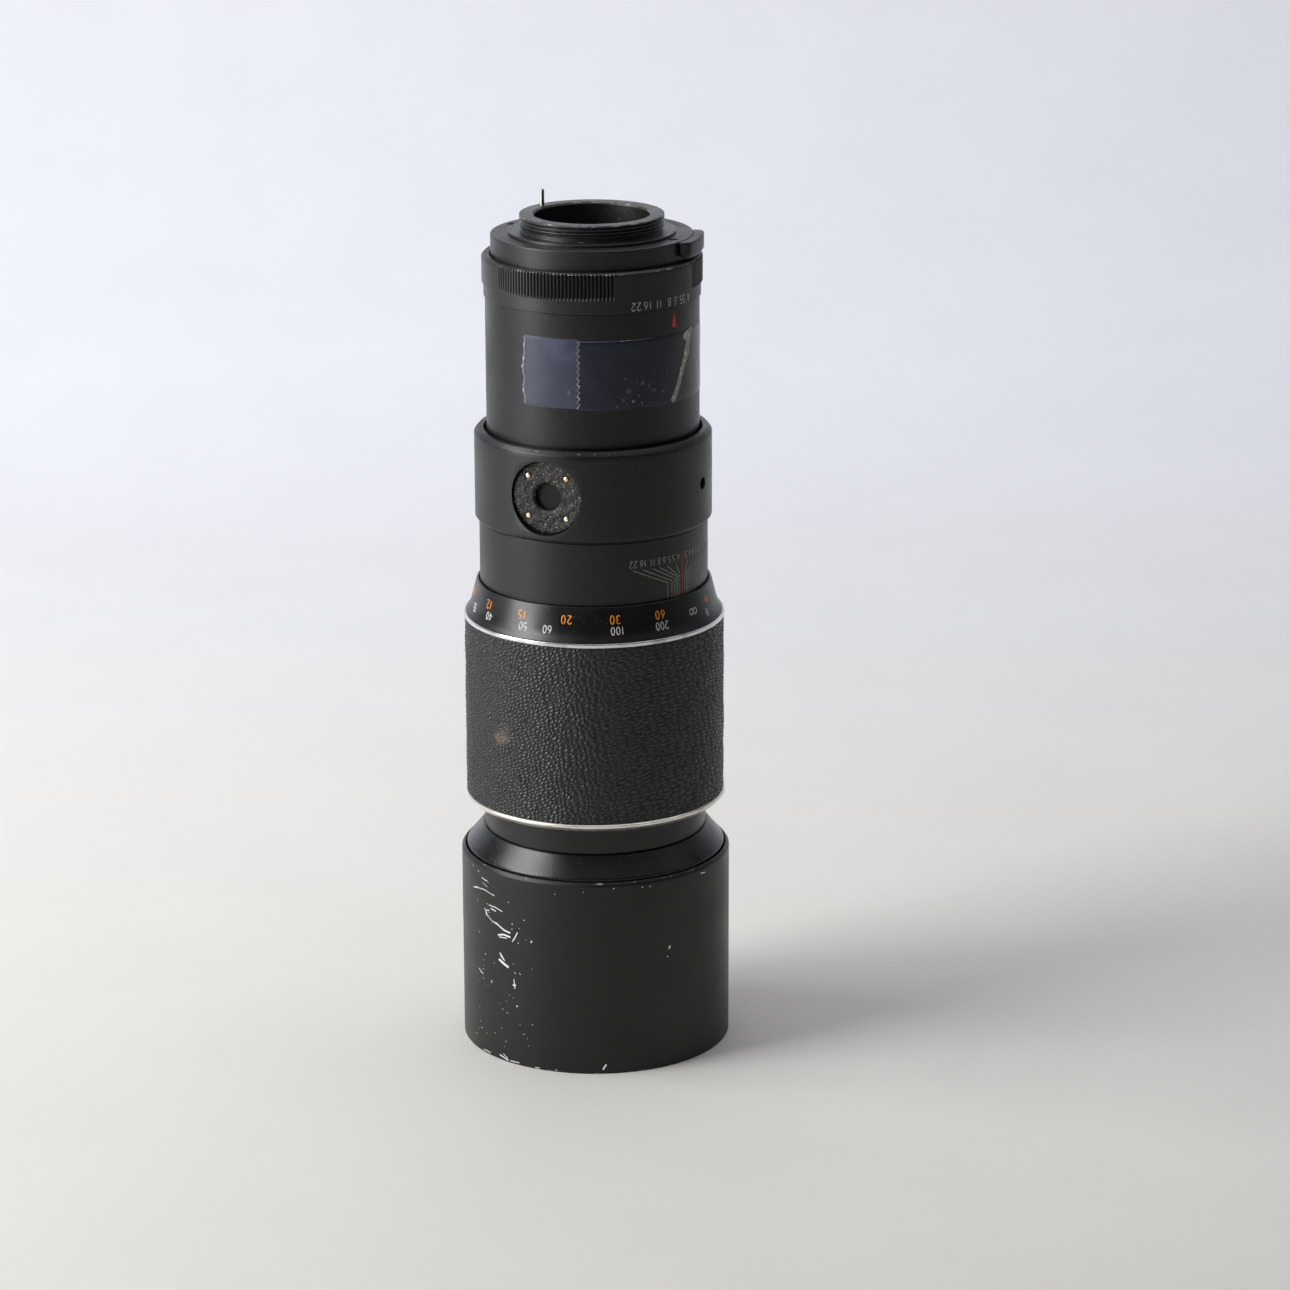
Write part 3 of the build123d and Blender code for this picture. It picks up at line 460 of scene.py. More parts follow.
def surfaced(material, colour=None, rough=None, height=None, strength=0.3, depth=0.05):
    """Links a colour, a roughness and the bump of a height to a started material.  The bump's depth
    is in millimetres."""
    tree = material.node_tree
    shader = next(node for node in tree.nodes if node.type == "BSDF_PRINCIPLED")
    if colour is not None:
        tree.links.new(first_output(colour), shader.inputs["Base Color"])
    if rough is not None:
        tree.links.new(first_output(rough), shader.inputs["Roughness"])
    if height is not None:
        links = {"Height": height, "Strength": strength, "Distance": depth * MM}
        bump = add(tree, "Bump", links)
        tree.links.new(bump.outputs["Normal"], shader.inputs["Normal"])
    return material


def satin_anodised(name, colour, paler, roughness, grain, speckle, turning=0.0, level=0.5, wear_and_highlight_bands=()):
    """Aluminium, turned, bead-blasted and dyed black: a soft wide highlight, a fine grey speckle,
    and fine turning rings where the tool marks were left.  Each band of wear and highlight is
    (height, half width, share) in millimetres, where the colour turns to grey metal in patches: dye
    rubbed through to the metal, and on the mount also a painted highlight along its edges."""
    sockets = {"Specular IOR Level": level, "Coat Weight": 0.05, "Coat Roughness": 0.2}
    material, tree, place = started(name, roughness, **sockets)
    fine = add(tree, "TexNoise", {"Vector": place, "Scale": per_mm(grain), "Detail": 3.0})
    broad = add(tree, "TexNoise", {"Vector": place, "Scale": per_mm(14), "Detail": 5.0})
    dye_wear_and_highlight = add(
        tree, "ValToRGB", {"Fac": fine},
        stops=[(0.45, colour), (0.58, colour), (0.58 + speckle, paler)],
    )
    smear = add(
        tree, "MapRange",
        {"Value": broad, "From Min": 0.3, "From Max": 0.7,
         "To Min": roughness - 0.05, "To Max": roughness + 0.07},
    )
    rough = smear
    # each band greys the colour in patches: rubbed-through dye, and on the mount also a painted
    # highlight
    for height, half_width, share in wear_and_highlight_bands:
        parts = add(tree, "SeparateXYZ", {"Vector": place})
        away = add(tree, "Math", {0: parts.outputs["Z"], 1: height * MM}, operation="SUBTRACT")
        band = add(
            tree, "MapRange",
            {"Value": add(tree, "Math", {0: away}, operation="ABSOLUTE"),
             "From Min": half_width * MM, "From Max": 0.0, "To Min": -0.3, "To Max": share},
        )
        patch = add(tree, "TexNoise", {"Vector": place, "Scale": per_mm(2.6), "Detail": 6.0})
        both = add(tree, "Math", {0: patch, 1: band}, operation="ADD")
        bare = add(tree, "MapRange", {"Value": both, "From Min": 0.78, "From Max": 0.9})
        rubbed = add(
            tree, "Mix",
            {"Factor": bare, "A": dye_wear_and_highlight, "B": (*linear("#8b8984"), 1)},
            data_type="RGBA",
        )
        dye_wear_and_highlight = rubbed.outputs["Result"]
    height = fine
    if turning:
        rings = add(tree, "Mapping", {"Vector": place, "Scale": (0.02, 0.02, 1.0)})
        marks = add(tree, "TexNoise", {"Vector": rings, "Scale": per_mm(turning), "Detail": 2.0})
        mixed = add(tree, "Math", {0: height, 1: marks}, operation="ADD")
        height = mixed
    return surfaced(material, dye_wear_and_highlight, rough, height, 0.5, 0.05)


def gloss_lacquer(name, colour, roughness):
    """Baked black lacquer on turned metal: a tight highlight with a little orange peel, and dust."""
    material, tree, place = started(name, roughness, **{"Specular IOR Level": 0.55})
    peel = add(tree, "TexNoise", {"Vector": place, "Scale": per_mm(1.4), "Detail": 2.0})
    dust = add(tree, "TexNoise", {"Vector": place, "Scale": per_mm(0.35), "Detail": 1.0})
    shade = add(
        tree, "ValToRGB", {"Fac": dust},
        stops=[(0.0, colour), (0.7, colour), (0.78, "#5b5a57")],
    )
    broad = add(tree, "TexNoise", {"Vector": place, "Scale": per_mm(9), "Detail": 4.0})
    smear = add(
        tree, "MapRange",
        {"Value": broad, "From Min": 0.3, "From Max": 0.7,
         "To Min": roughness - 0.04, "To Max": roughness + 0.08},
    )
    return surfaced(material, shade, smear, peel, 0.12, 0.02)


def bare_metal(name, colour, darker, roughness, grain):
    """Bare turned or ground metal: a bright, slightly streaked mirror with tarnish in patches."""
    material, tree, place = started(name, roughness, 1.0)
    stretched = add(tree, "Mapping", {"Vector": place, "Scale": (0.05, 0.05, 1.0)})
    streak = add(tree, "TexNoise", {"Vector": stretched, "Scale": per_mm(grain), "Detail": 2.0})
    stain = add(tree, "TexNoise", {"Vector": place, "Scale": per_mm(5), "Detail": 5.0})
    shade = add(
        tree, "ValToRGB", {"Fac": stain},
        stops=[(0.3, darker), (0.48, colour), (0.9, colour)],
    )
    smear = add(
        tree, "MapRange",
        {"Value": stain, "From Min": 0.3, "From Max": 0.7,
         "To Min": roughness + 0.08, "To Max": roughness - 0.03},
    )
    return surfaced(material, shade, smear, streak, 0.06, 0.01)


def engraving_paint(name, colour, worn_colour):
    """Enamel rubbed into engraved figures: matt, a little uneven, and thinner in places."""
    material, tree, place = started(name, 0.55)
    patchy = add(tree, "TexNoise", {"Vector": place, "Scale": per_mm(0.7), "Detail": 4.0})
    shade = add(tree, "ValToRGB", {"Fac": patchy}, stops=[(0.32, worn_colour), (0.5, colour)])
    return surfaced(material, shade, None, patchy, 0.3, 0.02)


def leatherette():
    """PVC leathercloth, embossed: glossy on the crowns of the grain and dull in its creases, with one
    pale brown scuff.  Its colour is darker in the creases, a painted shade, and paler on the crowns,
    a painted highlight."""
    material, tree, place = started("black leathercloth", 0.36, **{"Specular IOR Level": 0.7})
    fine = add(tree, "TexNoise", {"Vector": place, "Scale": per_mm(0.45), "Detail": 4.0})
    relief = add(tree, "Attribute", attribute_name="crown")
    # the colour follows the crown attribute: darker in the creases as painted shade, paler on the
    # crowns as a painted highlight
    shade = add(
        tree, "ValToRGB", {"Fac": relief.outputs["Fac"]},
        stops=[(0.0, "#040404"), (0.4, "#070708"), (1.0, "#0e0e0f")],
    )
    scuff_centre = bearing_point(np.array(-46.0), leather_radius, 101.5) * MM
    reachable = add(tree, "VectorMath", {0: place, 1: tuple(scuff_centre)}, operation="DISTANCE")
    nearness = add(
        tree, "MapRange",
        {"Value": reachable.outputs["Value"], "From Min": 12 * MM, "From Max": 2 * MM},
    )
    patch = add(tree, "TexNoise", {"Vector": place, "Scale": per_mm(3.5), "Detail": 9.0})
    rubbed = add(tree, "Math", {0: patch, 1: nearness}, operation="MULTIPLY")
    amount = add(
        tree, "MapRange",
        {"Value": rubbed, "From Min": 0.4, "From Max": 0.75, "To Max": 0.5},
    )
    scuffed = add(
        tree, "Mix",
        {"Factor": amount, "A": shade, "B": (*linear("#8a7765"), 1)},
        data_type="RGBA",
    )
    dull = add(
        tree, "MapRange",
        {"Value": relief.outputs["Fac"], "From Min": 0.15, "From Max": 0.75, "To Min": 0.8,
         "To Max": 0.18},
    )
    return surfaced(material, scuffed.outputs["Result"], dull, fine, 0.3, 0.05)


def adhesive_film(name, colour, paler, roughness, scale):
    """Clear adhesive tape gone hazy over black paint: a smoky blue-grey film, glossy on top, with
    paler clouds where it has lifted."""
    material, tree, place = started(name, roughness, **{"Specular IOR Level": 0.4})
    cloud = add(tree, "TexNoise", {"Vector": place, "Scale": per_mm(scale), "Detail": 5.0})
    shade = add(
        tree, "ValToRGB", {"Fac": cloud},
        stops=[(0.35, colour), (0.52, colour), (0.72, paler)],
    )
    return surfaced(material, shade, None, cloud, 0.25, 0.15)


def cast_plate():
    """A rough black casting with old glue and swarf in it: dull and gritty, with pale specks that
    are partly swarf and partly painted glints.
    """
    material, tree, place = started("rough socket casting", 0.5)
    grit = add(tree, "TexNoise", {"Vector": place, "Scale": per_mm(0.5), "Detail": 6.0})
    cells = add(tree, "TexVoronoi", {"Vector": place, "Scale": per_mm(0.9)})
    # the palest stop is partly painted glints among the swarf
    shade = add(
        tree, "ValToRGB", {"Fac": grit},
        stops=[(0.4, "#080808"), (0.56, "#161514"), (0.64, "#45423c"), (0.72, "#b8b0a0")],
    )
    rough = add(
        tree, "MapRange",
        {"Value": cells.outputs["Distance"], "From Max": 0.5, "To Min": 0.25, "To Max": 0.6},
    )
    return surfaced(material, shade, rough, grit, 0.8, 0.15)


def coated_glass():
    """Optical crown and flint with a blue-purple anti-reflection coat, faintly dusty."""
    sockets = {"Transmission Weight": 1.0, "IOR": 1.62, "Thin Film Thickness": 130.0,
               "Thin Film IOR": 1.38}
    material, tree, place = started("coated optical glass", 0.0, **sockets)
    dust = add(tree, "TexNoise", {"Vector": place, "Scale": per_mm(0.8), "Detail": 2.0})
    shade = add(
        tree, "ValToRGB", {"Fac": dust},
        stops=[(0.0, "#f4f6fb"), (0.7, "#f4f6fb"), (0.8, "#c9c9c9")],
    )
    haze = add(tree, "MapRange", {"Value": dust, "From Min": 0.66, "From Max": 0.8, "To Max": 0.25})
    return surfaced(material, shade, haze)


def seamless_paper(floor_colour, wall_colour):
    """Matt background paper with faint scuffs.  Its colour darkens towards the front and turns paler
    and cooler where it sweeps up: painted shade and painted light on one paper.
    """
    material, tree, place = started("seamless paper", 0.75)
    parts = add(tree, "SeparateXYZ", {"Vector": place})
    rise = add(tree, "MapRange", {"Value": parts.outputs["Y"], "From Min": -0.25, "From Max": 0.75})
    # painted shade: the paper is darker towards the camera
    near = tuple(0.86 * value for value in floor_colour)
    shade = add(
        tree, "ValToRGB", {"Fac": rise},
        stops=[(0.0, near), (0.35, tuple(floor_colour)), (1.0, tuple(wall_colour))],
    )
    scuff = add(tree, "TexNoise", {"Vector": place, "Scale": per_mm(60), "Detail": 8.0})
    faint = add(
        tree, "MapRange",
        {"Value": scuff, "From Min": 0.35, "From Max": 0.7,
         "To Min": 0.975, "To Max": 1.0},
    )
    mixed = add(tree, "VectorMath", {0: shade, 1: faint}, operation="MULTIPLY")
    return surfaced(material, mixed)


finishes = {}


def finish(name):
    """The finish of that name, made the first time that it is asked for."""
    if name not in finishes:
        finishes[name] = FINISHES[name]()
    return finishes[name]


FINISHES = {
    "hood": lambda: satin_anodised(
        "hood black anodised aluminium", "#060607", "#111113", 0.42, 0.5, 0.3,
        level=0.42, wear_and_highlight_bands=((hood_top - 0.3, 0.9, 0.25), (0.2, 0.8, 0.28)),
    ),
    "barrel": lambda: satin_anodised(
        "barrel black anodised aluminium", "#050506", "#29292c", 0.4, 0.32, 0.15, 0.5, 0.44
    ),
    "collar": lambda: satin_anodised(
        "collar black anodised aluminium", "#060607", "#272729", 0.4, 0.4, 0.15, 0.5, 0.44,
        wear_and_highlight_bands=((collar_top - 0.6, 0.8, 0.24),),
    ),
    "neck": lambda: satin_anodised(
        "neck black anodised aluminium", "#060607", "#111112", 0.36, 0.5, 0.3, 0.4, 0.42
    ),
    "ring": lambda: satin_anodised(
        "aperture ring black anodised aluminium", "#070708", "#262628", 0.4, 0.35, 0.17, 0.0, 0.52,
        wear_and_highlight_bands=((aperture_top - 0.5, 0.8, 0.3),),
    ),
    # the mount's pale speckle is partly painted glints, and its grey bands at the rim and at the
    # thread's foot are painted highlights as well as wear
    "mount": lambda: satin_anodised(
        "mount black anodised brass with painted glints", "#111111", "#4a4843", 0.36, 0.35, 0.12, 0.3, 0.6,
        wear_and_highlight_bands=((mount_top - 0.2, 0.6, 0.36), (flange_top + 0.1, 0.5, 0.22)),
    ),
    "shoulder": lambda: gloss_lacquer("shoulder black lacquer", "#080808", 0.26),
    "scale": lambda: gloss_lacquer("distance scale black lacquer", "#090909", 0.3),
    "inside": lambda: satin_anodised(
        "matt black inner anodising", "#0a0a0b", "#141415", 0.66, 0.5, 0.3, 0.5, 0.25
    ),
    "chrome": lambda: bare_metal("polished chrome plate", "#e4e4e6", "#b9babd", 0.16, 2.5),
    "warm chrome": lambda: bare_metal("warm chrome plate", "#f6f2ea", "#ded8cd", 0.3, 2.5),
    "steel": lambda: bare_metal("ground steel", "#b9b7b2", "#7d7a74", 0.24, 0.2),
    "dark steel": lambda: bare_metal("blackened steel", "#232325", "#151516", 0.38, 0.2),
    "brass": lambda: bare_metal("turned brass", "#e8c98a", "#a9823f", 0.26, 0.3),
    "pin brass": lambda: bare_metal("bright brass pins", "#fff0cf", "#d8b578", 0.34, 0.3),
    "scratch": lambda: bare_metal("bare scratched aluminium", "#f2f2f4", "#a9a9ad", 0.38, 0.4),
    "white paint": lambda: engraving_paint("white figure enamel", "#d6d6d2", "#8e8d89"),
    "pale paint": lambda: engraving_paint("pale grey figure enamel", "#b3b1ab", "#77756f"),
    "grey paint": lambda: engraving_paint("grey figure enamel", "#8f8d88", "#5a5854"),
    "orange paint": lambda: engraving_paint("orange figure enamel", "#f79a1e", "#c4660f"),
    "red paint": lambda: engraving_paint("red index enamel", "#c8341f", "#84200f"),
    "leather": leatherette,
    "left film": lambda: adhesive_film("hazy adhesive film", "#3a3d4d", "#4b4f61", 0.34, 9),
    "blister": lambda: adhesive_film("lifted film blister", "#3c3e4b", "#6a6c78", 0.42, 0.8),
    "right film": lambda: adhesive_film("clear adhesive film", "#1b1e2c", "#272b3a", 0.26, 12),
    "film edge": lambda: adhesive_film("lifted film edge", "#6f6e7c", "#d9d7d2", 0.45, 1.2),
    "crease": lambda: adhesive_film("dried adhesive crease", "#8d897f", "#e2ddd0", 0.5, 1.5),
    "casting": cast_plate,
    "glass": coated_glass,
}


# ---------------------------------------------------------------- user settings
class LENS_PG_settings(bpy.types.PropertyGroup):
    """Sizes and colours that a user may change before making the pieces."""

    grain_height: FloatProperty(
        name="Leather Relief", description="Height of the leathercloth's grain", default=0.42 * MM,
        min=0.0, max=0.6 * MM, unit="LENGTH", precision=5,
    )
    grain_size: FloatProperty(
        name="Leather Grain", description="Distance from pebble to pebble of the leathercloth",
        default=1.36 * MM, min=0.8 * MM, max=4 * MM, unit="LENGTH", precision=5,
    )
    knurl_depth: FloatProperty(
        name="Knurl Depth", description="Depth of the grooves in the aperture ring",
        default=0.5 * MM, min=0.05 * MM, max=0.8 * MM, unit="LENGTH", precision=5,
    )
    stroke: FloatProperty(
        name="Figure Stroke", description="Width of the cutter that engraved the figures",
        default=0.28 * MM, min=0.15 * MM, max=0.6 * MM, unit="LENGTH", precision=5,
    )
    columns: IntProperty(
        name="Facets", description="Steps round each turned surface", default=320, min=64, max=720
    )
    floor_colour: FloatVectorProperty(
        name="Floor", description="Colour of the paper under the lens", subtype="COLOR",
        default=linear("#dcd9d3"), min=0, max=1,
    )
    # paler and cooler than the floor: painted light on the same paper
    wall_colour: FloatVectorProperty(
        name="Backdrop", description="Colour of the paper behind the lens", subtype="COLOR",
        default=linear("#f3f4fa"), min=0, max=1,
    )
    key_strength: FloatProperty(
        name="Key Light", description="Power of the large soft light on the left", default=19.0,
        min=0, unit="POWER",
    )
    top_strength: FloatProperty(
        name="Top Light", description="Power of the soft light overhead", default=9.0, min=0,
        unit="POWER",
    )


def settings():
    """The values that the sidebar shows, or their defaults."""
    return bpy.context.scene.lens_settings


# ---------------------------------------------------------------- hood
# the bare places on the hood, down its left side, along its foot and on its right side: the
# bearings and heights along each, then its width
SCRATCHES = (
    (-65.5, 57.6, -65.1, 57.2, 0.3), (-60.3, 56.9, -59.8, 56.5, 0.35),
    (-57.3, 55.4, -55, 55, -53.2, 55.1, 0.3), (-57, 53.8, -53, 53.2, 0.2),
    (-64.9, 50.8, -61, 51.4, -57.5, 51.7, 0.35), (-62.5, 51.4, -55.3, 51.9, -48.4, 51.3, 0.28),
    (-55.5, 46.2, -53.8, 44.8, -54.6, 44.6, -52.3, 43.9, 0.5), (-54.8, 45.6, -52, 46, 0.3),
    (-52.2, 47.7, -48, 47.8, -43.6, 47.2, 0.28), (-51, 46.9, -47.5, 46.6, 0.35),
    (-52.3, 43.8, -49.5, 43, -46.4, 42.9, 0.4),
    (-50.5, 43.2, -46.4, 42.6, -42.5, 41.5, -39.1, 41.2, 0.45),
    (-46.5, 39.4, -43, 40.1, -39.1, 39.9, 0.5), (-45.8, 38.9, -41, 39.3, 0.25),
    (-38.2, 38.6, -36.8, 40, -35.3, 42, 0.3), (-28.6, 39.6, -28.2, 40.3, 0.4),
    (-45.5, 34, -44, 33, -42.9, 32.1, 0.45), (-46.1, 31.9, -43, 30.9, -40.3, 30.2, 0.75),
    (-45, 33.2, -42.4, 31.9, 0.3), (-60.8, 26, -58.5, 25.1, -57, 25, 0.4),
    (-55.3, 31.8, -55.1, 31.4, 0.3), (-60.3, 37.8, -59.8, 37.6, 0.3),
    (-51, 24.2, -50.8, 23.4, 0.35), (-37.5, 27, -37.3, 25.5, -37, 24, 0.28),
    (-38.2, 25, -36.4, 25.2, 0.5), (-36.2, 18.9, -35.8, 18.4, 0.45),
    (-32, 46.1, -31.7, 46.4, 0.25), (32.2, 36.9, 33, 37.9, 0.4), (31.5, 34.8, 31.7, 34.5, 0.3),
    (2.5, 1.3, 3.1, 2.1, 4, 3, 0.55), (-57.9, 0.6, -55, 0.9, -52.3, 0.7, 0.35),
    (-46.3, 1.5, -41, 0.6, 0.45), (-44, 2.2, -41.5, 1.2, 0.25), (-40, 0.7, -35.1, 0.8, 0.3),
    (-27.1, 0.5, -25, 0.5, 0.3), (-18.1, 0.6, -16.9, 0.6, 0.25), (-59.1, 7.5, -58.6, 7.2, 0.25),
    (-64.3, 4.6, -63.8, 4.3, 0.3), (-17.7, 55.8, -17.3, 55.8, 0.2), (-5.5, 56.9, -5, 57, 0.2),
    (7.2, 57.9, 7.8, 58, 0.2), (19.5, 57.7, 20, 57.7, 0.2), (23.1, 57.5, 23.6, 57.6, 0.2),
    (50.5, 57.5, 53.7, 57.2, 0.2),
)


class LENS_OT_hood(bpy.types.Operator):
    """Makes the sliding hood with its rolled rims, and the bare scratches in its finish"""

    bl_idname = "lens.make_hood"
    bl_label = "Sliding Hood"

    def execute(self, context):
        profile = rounded([
            (hood_bore, 0.0, 0.25), (hood_radius, 0.0, 0.3),
            (hood_radius, hood_top - 0.9, 0.35), (hood_radius - 0.8, hood_top, 0.25),
            (hood_bore, hood_top, 0.2),
        ])
        hood = piece(
            "hood_shell", turned(profile, settings().columns), "hood", "hood",
        )
        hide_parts("hood_tube")
        on_hood = straight(hood_radius)
        bars = []
        rng = np.random.default_rng(11)
        for *line, width in SCRATCHES:
            ends = np.array(line, float).reshape(-1, 2)
            share = np.linspace(0, len(ends) - 1, 9 * (len(ends) - 1) + 1)
            run = np.stack([np.interp(share, np.arange(len(ends)), ends[:, k]) for k in range(2)], -1)
            run[:, 0] = np.radians(run[:, 0]) * hood_radius
            bars.append(ribbon(run, width, on_hood, 0.012))
        for _ in range(46):
            start = np.array([rng.uniform(-62, -28), rng.uniform(3, 56)])
            start[0] = math.radians(start[0]) * hood_radius
            size = rng.uniform(0.15, 0.7)
            lean = rng.uniform(-0.9, 0.9)
            run = start + np.linspace(0, size, 4)[:, None] * [math.cos(lean), math.sin(lean)]
            bars.append(ribbon(run, rng.uniform(0.1, 0.2), on_hood, 0.008))
        piece("hood_scratches", bars, "scratch", "hood")
        return {"FINISHED"}


# ---------------------------------------------------------------- front barrel and neck
class LENS_OT_front_barrel(bpy.types.Operator):
    """Makes the front barrel with its glossy shoulder and filter thread, and the neck and sliding
    tube behind it"""

    bl_idname = "lens.make_front_barrel"
    bl_label = "Front Barrel and Neck"

    def execute(self, context):
        columns = settings().columns
        thread_bore = front_radius - 2.0
        cell_bore = thread_bore - 1.0
        thread_end = front_low + 4.5
        shoulder_low = hood_top - 2.3
        joint = neck_radius - 1.4
        profile = rounded([
            (front_radius, front_low, 0.2), (front_radius, shoulder_low, 0.1),
            (shoulder_radius, shoulder_low, 0.1),
            (shoulder_radius, hood_top + 0.7, 0.3), (neck_radius + 0.65, shoulder_top, 0.35),
            (joint, shoulder_top, 0.1), (joint, shoulder_top - 4.2, 0.1),
            (cell_bore, shoulder_low - 1.2, 0.1), (cell_bore, thread_end, 0.1),
            (thread_bore, thread_end, 0.1), (thread_bore, front_low, 0.2),
        ])
        profile = denser(profile, front_low, thread_end, thread_bore, 46)
        height = profile[:, 1][:, None]
        bearings = np.arange(columns)[None, :] / columns
        on_thread = (np.abs(profile[:, 0] - thread_bore) < 0.02)[:, None]
        phase = (height / 0.75 - bearings) % 1
        groove = np.clip(1 - np.abs(phase - 0.5) / 0.42, 0, 1)
        fade = np.clip(np.minimum(height - front_low - 0.4, thread_end - 0.4 - height) / 0.3, 0, 1)
        barrel = piece(
            "front_shoulder", turned(profile, columns, on_thread * groove * fade * 0.36),
            "shoulder", "front_barrel", 50,
        )
        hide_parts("front_barrel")

        neck_top = foot("guide_barrel") - 2.0
        slide = neck_radius - 3.6
        neck_bore = neck_radius - 3.0
        profile = rounded([
            (neck_bore, neck_low, 0.1), (joint, neck_low, 0.1), (joint, shoulder_top, 0.1),
            (neck_radius, shoulder_top, 0.2), (neck_radius, neck_top, 0.2), (slide, neck_top, 0.1),
            (slide, slide_top, 0.15), (slide - 1.2, slide_top, 0.15),
            (slide - 1.2, neck_top - 2.0, 0.1), (neck_bore, neck_top - 2.0, 0.1),
        ])
        tube = piece("neck_and_slide_tube", turned(profile, columns), "neck", "front_barrel")
        slot_low = neck_top + 7.0 - 0.1
        slot = np.array([[-2.05, -2.05, 2.05, 2.05], [-40, 40, 40, -40]])
        upper = np.stack([slot[0], slot[1], np.full(4, slot_low + 27.35)], -1)
        lower = np.stack([slot[0], slot[1], np.full(4, slot_low)], -1)
        order = [[0, 1], [3, 2]]
        cut(tube, slab(upper[order], lower[order]))
        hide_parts("inner_barrel")

        seat = reach("front_retaining_ring")
        low, high = foot("front_retaining_ring"), top("front_retaining_ring")
        profile = rounded([
            (seat - 2.4, low, 0.3), (seat, low, 0.2), (seat, high, 0.1), (seat - 2.4, high, 0.1)
        ])
        ring = piece(
            "front_name_ring", turned(profile, 240), "inside", "front_barrel",
        )
        cut(ring, rod(90, seat - 2.6, 1.6, 0.7, low), rod(-90, seat - 2.6, 1.6, 0.7, low))
        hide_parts("front_retaining_ring")
        return {"FINISHED"}


def sphere_cap(radius, half_width, height, sign, count=26):
    """A glass surface: radii from the axis out, and heights that fall from the edge as a sphere's."""
    radii = half_width * np.sin(np.linspace(0, np.pi / 2, count))
    bulge = np.sqrt(radius**2 - radii**2) - math.sqrt(radius**2 - half_width**2)
    return radii, height + sign * bulge


class LENS_OT_glass(bpy.types.Operator):
    """Makes the five glass elements with spherical faces and plain round edges"""

    bl_idname = "lens.make_glass"
    bl_label = "Glass Elements"

    def execute(self, context):
        front = reach("front_element")
        rear = reach("rear_element")
        elements = {
            "front_element": ("front_barrel", front, 3.294, -26.47),
            "second_element": ("front_barrel", front, 5.294, 11.765),
            "third_element": ("front_barrel", front, -7.353, -4.706),
            "fourth_element": ("main_barrel", rear, -4.334, 5.573),
            "rear_element": ("main_barrel", rear, -3.715, 9.288),
        }
        for node, (body, half_width, low_curve, high_curve) in elements.items():
            low_radius = abs(low_curve) * half_width
            high_radius = abs(high_curve) * half_width
            low_dish = low_radius - math.sqrt(low_radius**2 - half_width**2)
            high_dish = high_radius - math.sqrt(high_radius**2 - half_width**2)
            low_edge = foot(node) + (low_dish if low_curve > 0 else 0)
            high_edge = top(node) - (high_dish if high_curve > 0 else 0)
            shrink = half_width - 0.01
            r_low, z_low = sphere_cap(low_radius, shrink, low_edge + 0.004, -1 if low_curve > 0 else 1)
            r_high, z_high = sphere_cap(
                high_radius, shrink, high_edge - 0.004, 1 if high_curve > 0 else -1
            )
            profile = np.concatenate([
                np.stack([r_low, z_low], -1), np.stack([r_high, z_high], -1)[::-1]
            ])
            made = piece(node + "_glass", turned_solid(profile, 128), "glass", body)
            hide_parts(node)
        return {"FINISHED"}


# ---------------------------------------------------------------- focus ring and leather
def focus_ring_profile():
    """The closed profile of the focus ring, from its mouth round the outside to its bore."""
    mouth = scale_radius + 0.35
    trim_seat = grip_radius - 0.8
    foot_radius = grip_radius - 0.3
    sleeve_bore = reach("focus_sleeve")
    sleeve_low, sleeve_top = foot("focus_sleeve"), top("focus_sleeve")
    return rounded([
        (mouth + 0.6, ring_low - 0.4, 0.2), (foot_radius - 1.0, ring_low - 0.4, 0.2),
        (foot_radius - 1.0, ring_low, 0.05), (trim_seat, ring_low, 0.05),
        (trim_seat, leather_low, 0.05), (grip_radius, leather_low, 0.05),
        (grip_radius, leather_top, 0.05), (trim_seat, leather_top, 0.05),
        (trim_seat, cone_low, 0.05), (grip_radius, cone_low, 0.25),
        (grip_radius - 1.5, cone_low + 2.2, 1.4), (mouth + 0.65, cone_top, 0.3),
        (mouth, cone_top, 0.12), (mouth, sleeve_top, 0.1), (sleeve_bore, sleeve_top, 0.1),
        (sleeve_bore, sleeve_low, 0.1), (mouth + 0.6, sleeve_low, 0.1),
    ], 6)


def scale_slope():
    """The outside of the distance scale's cone, from its foot up, off the ring's own profile."""
    profile = focus_ring_profile()
    outside = profile[(profile[:, 1] > cone_low + 0.1) & (profile[:, 0] > scale_radius + 0.9)]
    return outside[np.argsort(outside[:, 1])]


class LENS_OT_focus_ring(bpy.types.Operator):
    """Makes the focus ring with its conical distance scale and its two chrome trims"""

    bl_idname = "lens.make_focus_ring"
    bl_label = "Focus Ring"

    def execute(self, context):
        columns = settings().columns
        trim_seat = grip_radius - 0.8
        foot_radius = grip_radius - 0.3
        ring = piece(
            "focus_ring_body", turned(focus_ring_profile(), columns), "scale", "focus_ring",
        )
        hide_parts("focus_ring")
        rim = reach("upper_trim_ring")
        upper = rounded([
            (trim_seat, leather_top, 0.1), (rim, leather_top, 0.35), (rim, cone_low, 0.35),
            (trim_seat, cone_low, 0.1),
        ])
        trim = piece(
            "upper_chrome_trim", turned(upper, columns), "chrome", "focus_ring",
        )
        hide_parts("upper_trim_ring")
        rim = reach("lower_trim_ring")
        lower = rounded([
            (trim_seat, ring_low, 0.1), (foot_radius, ring_low, 0.15), (rim, ring_low + 1.2, 0.6),
            (rim, leather_low - 0.3, 0.2), (leather_radius, leather_low, 0.1),
            (trim_seat, leather_low, 0.1),
        ], 6)
        trim = piece(
            "lower_chrome_trim", turned(lower, columns), "warm chrome", "focus_ring",
        )
        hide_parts("lower_trim_ring")
        return {"FINISHED"}


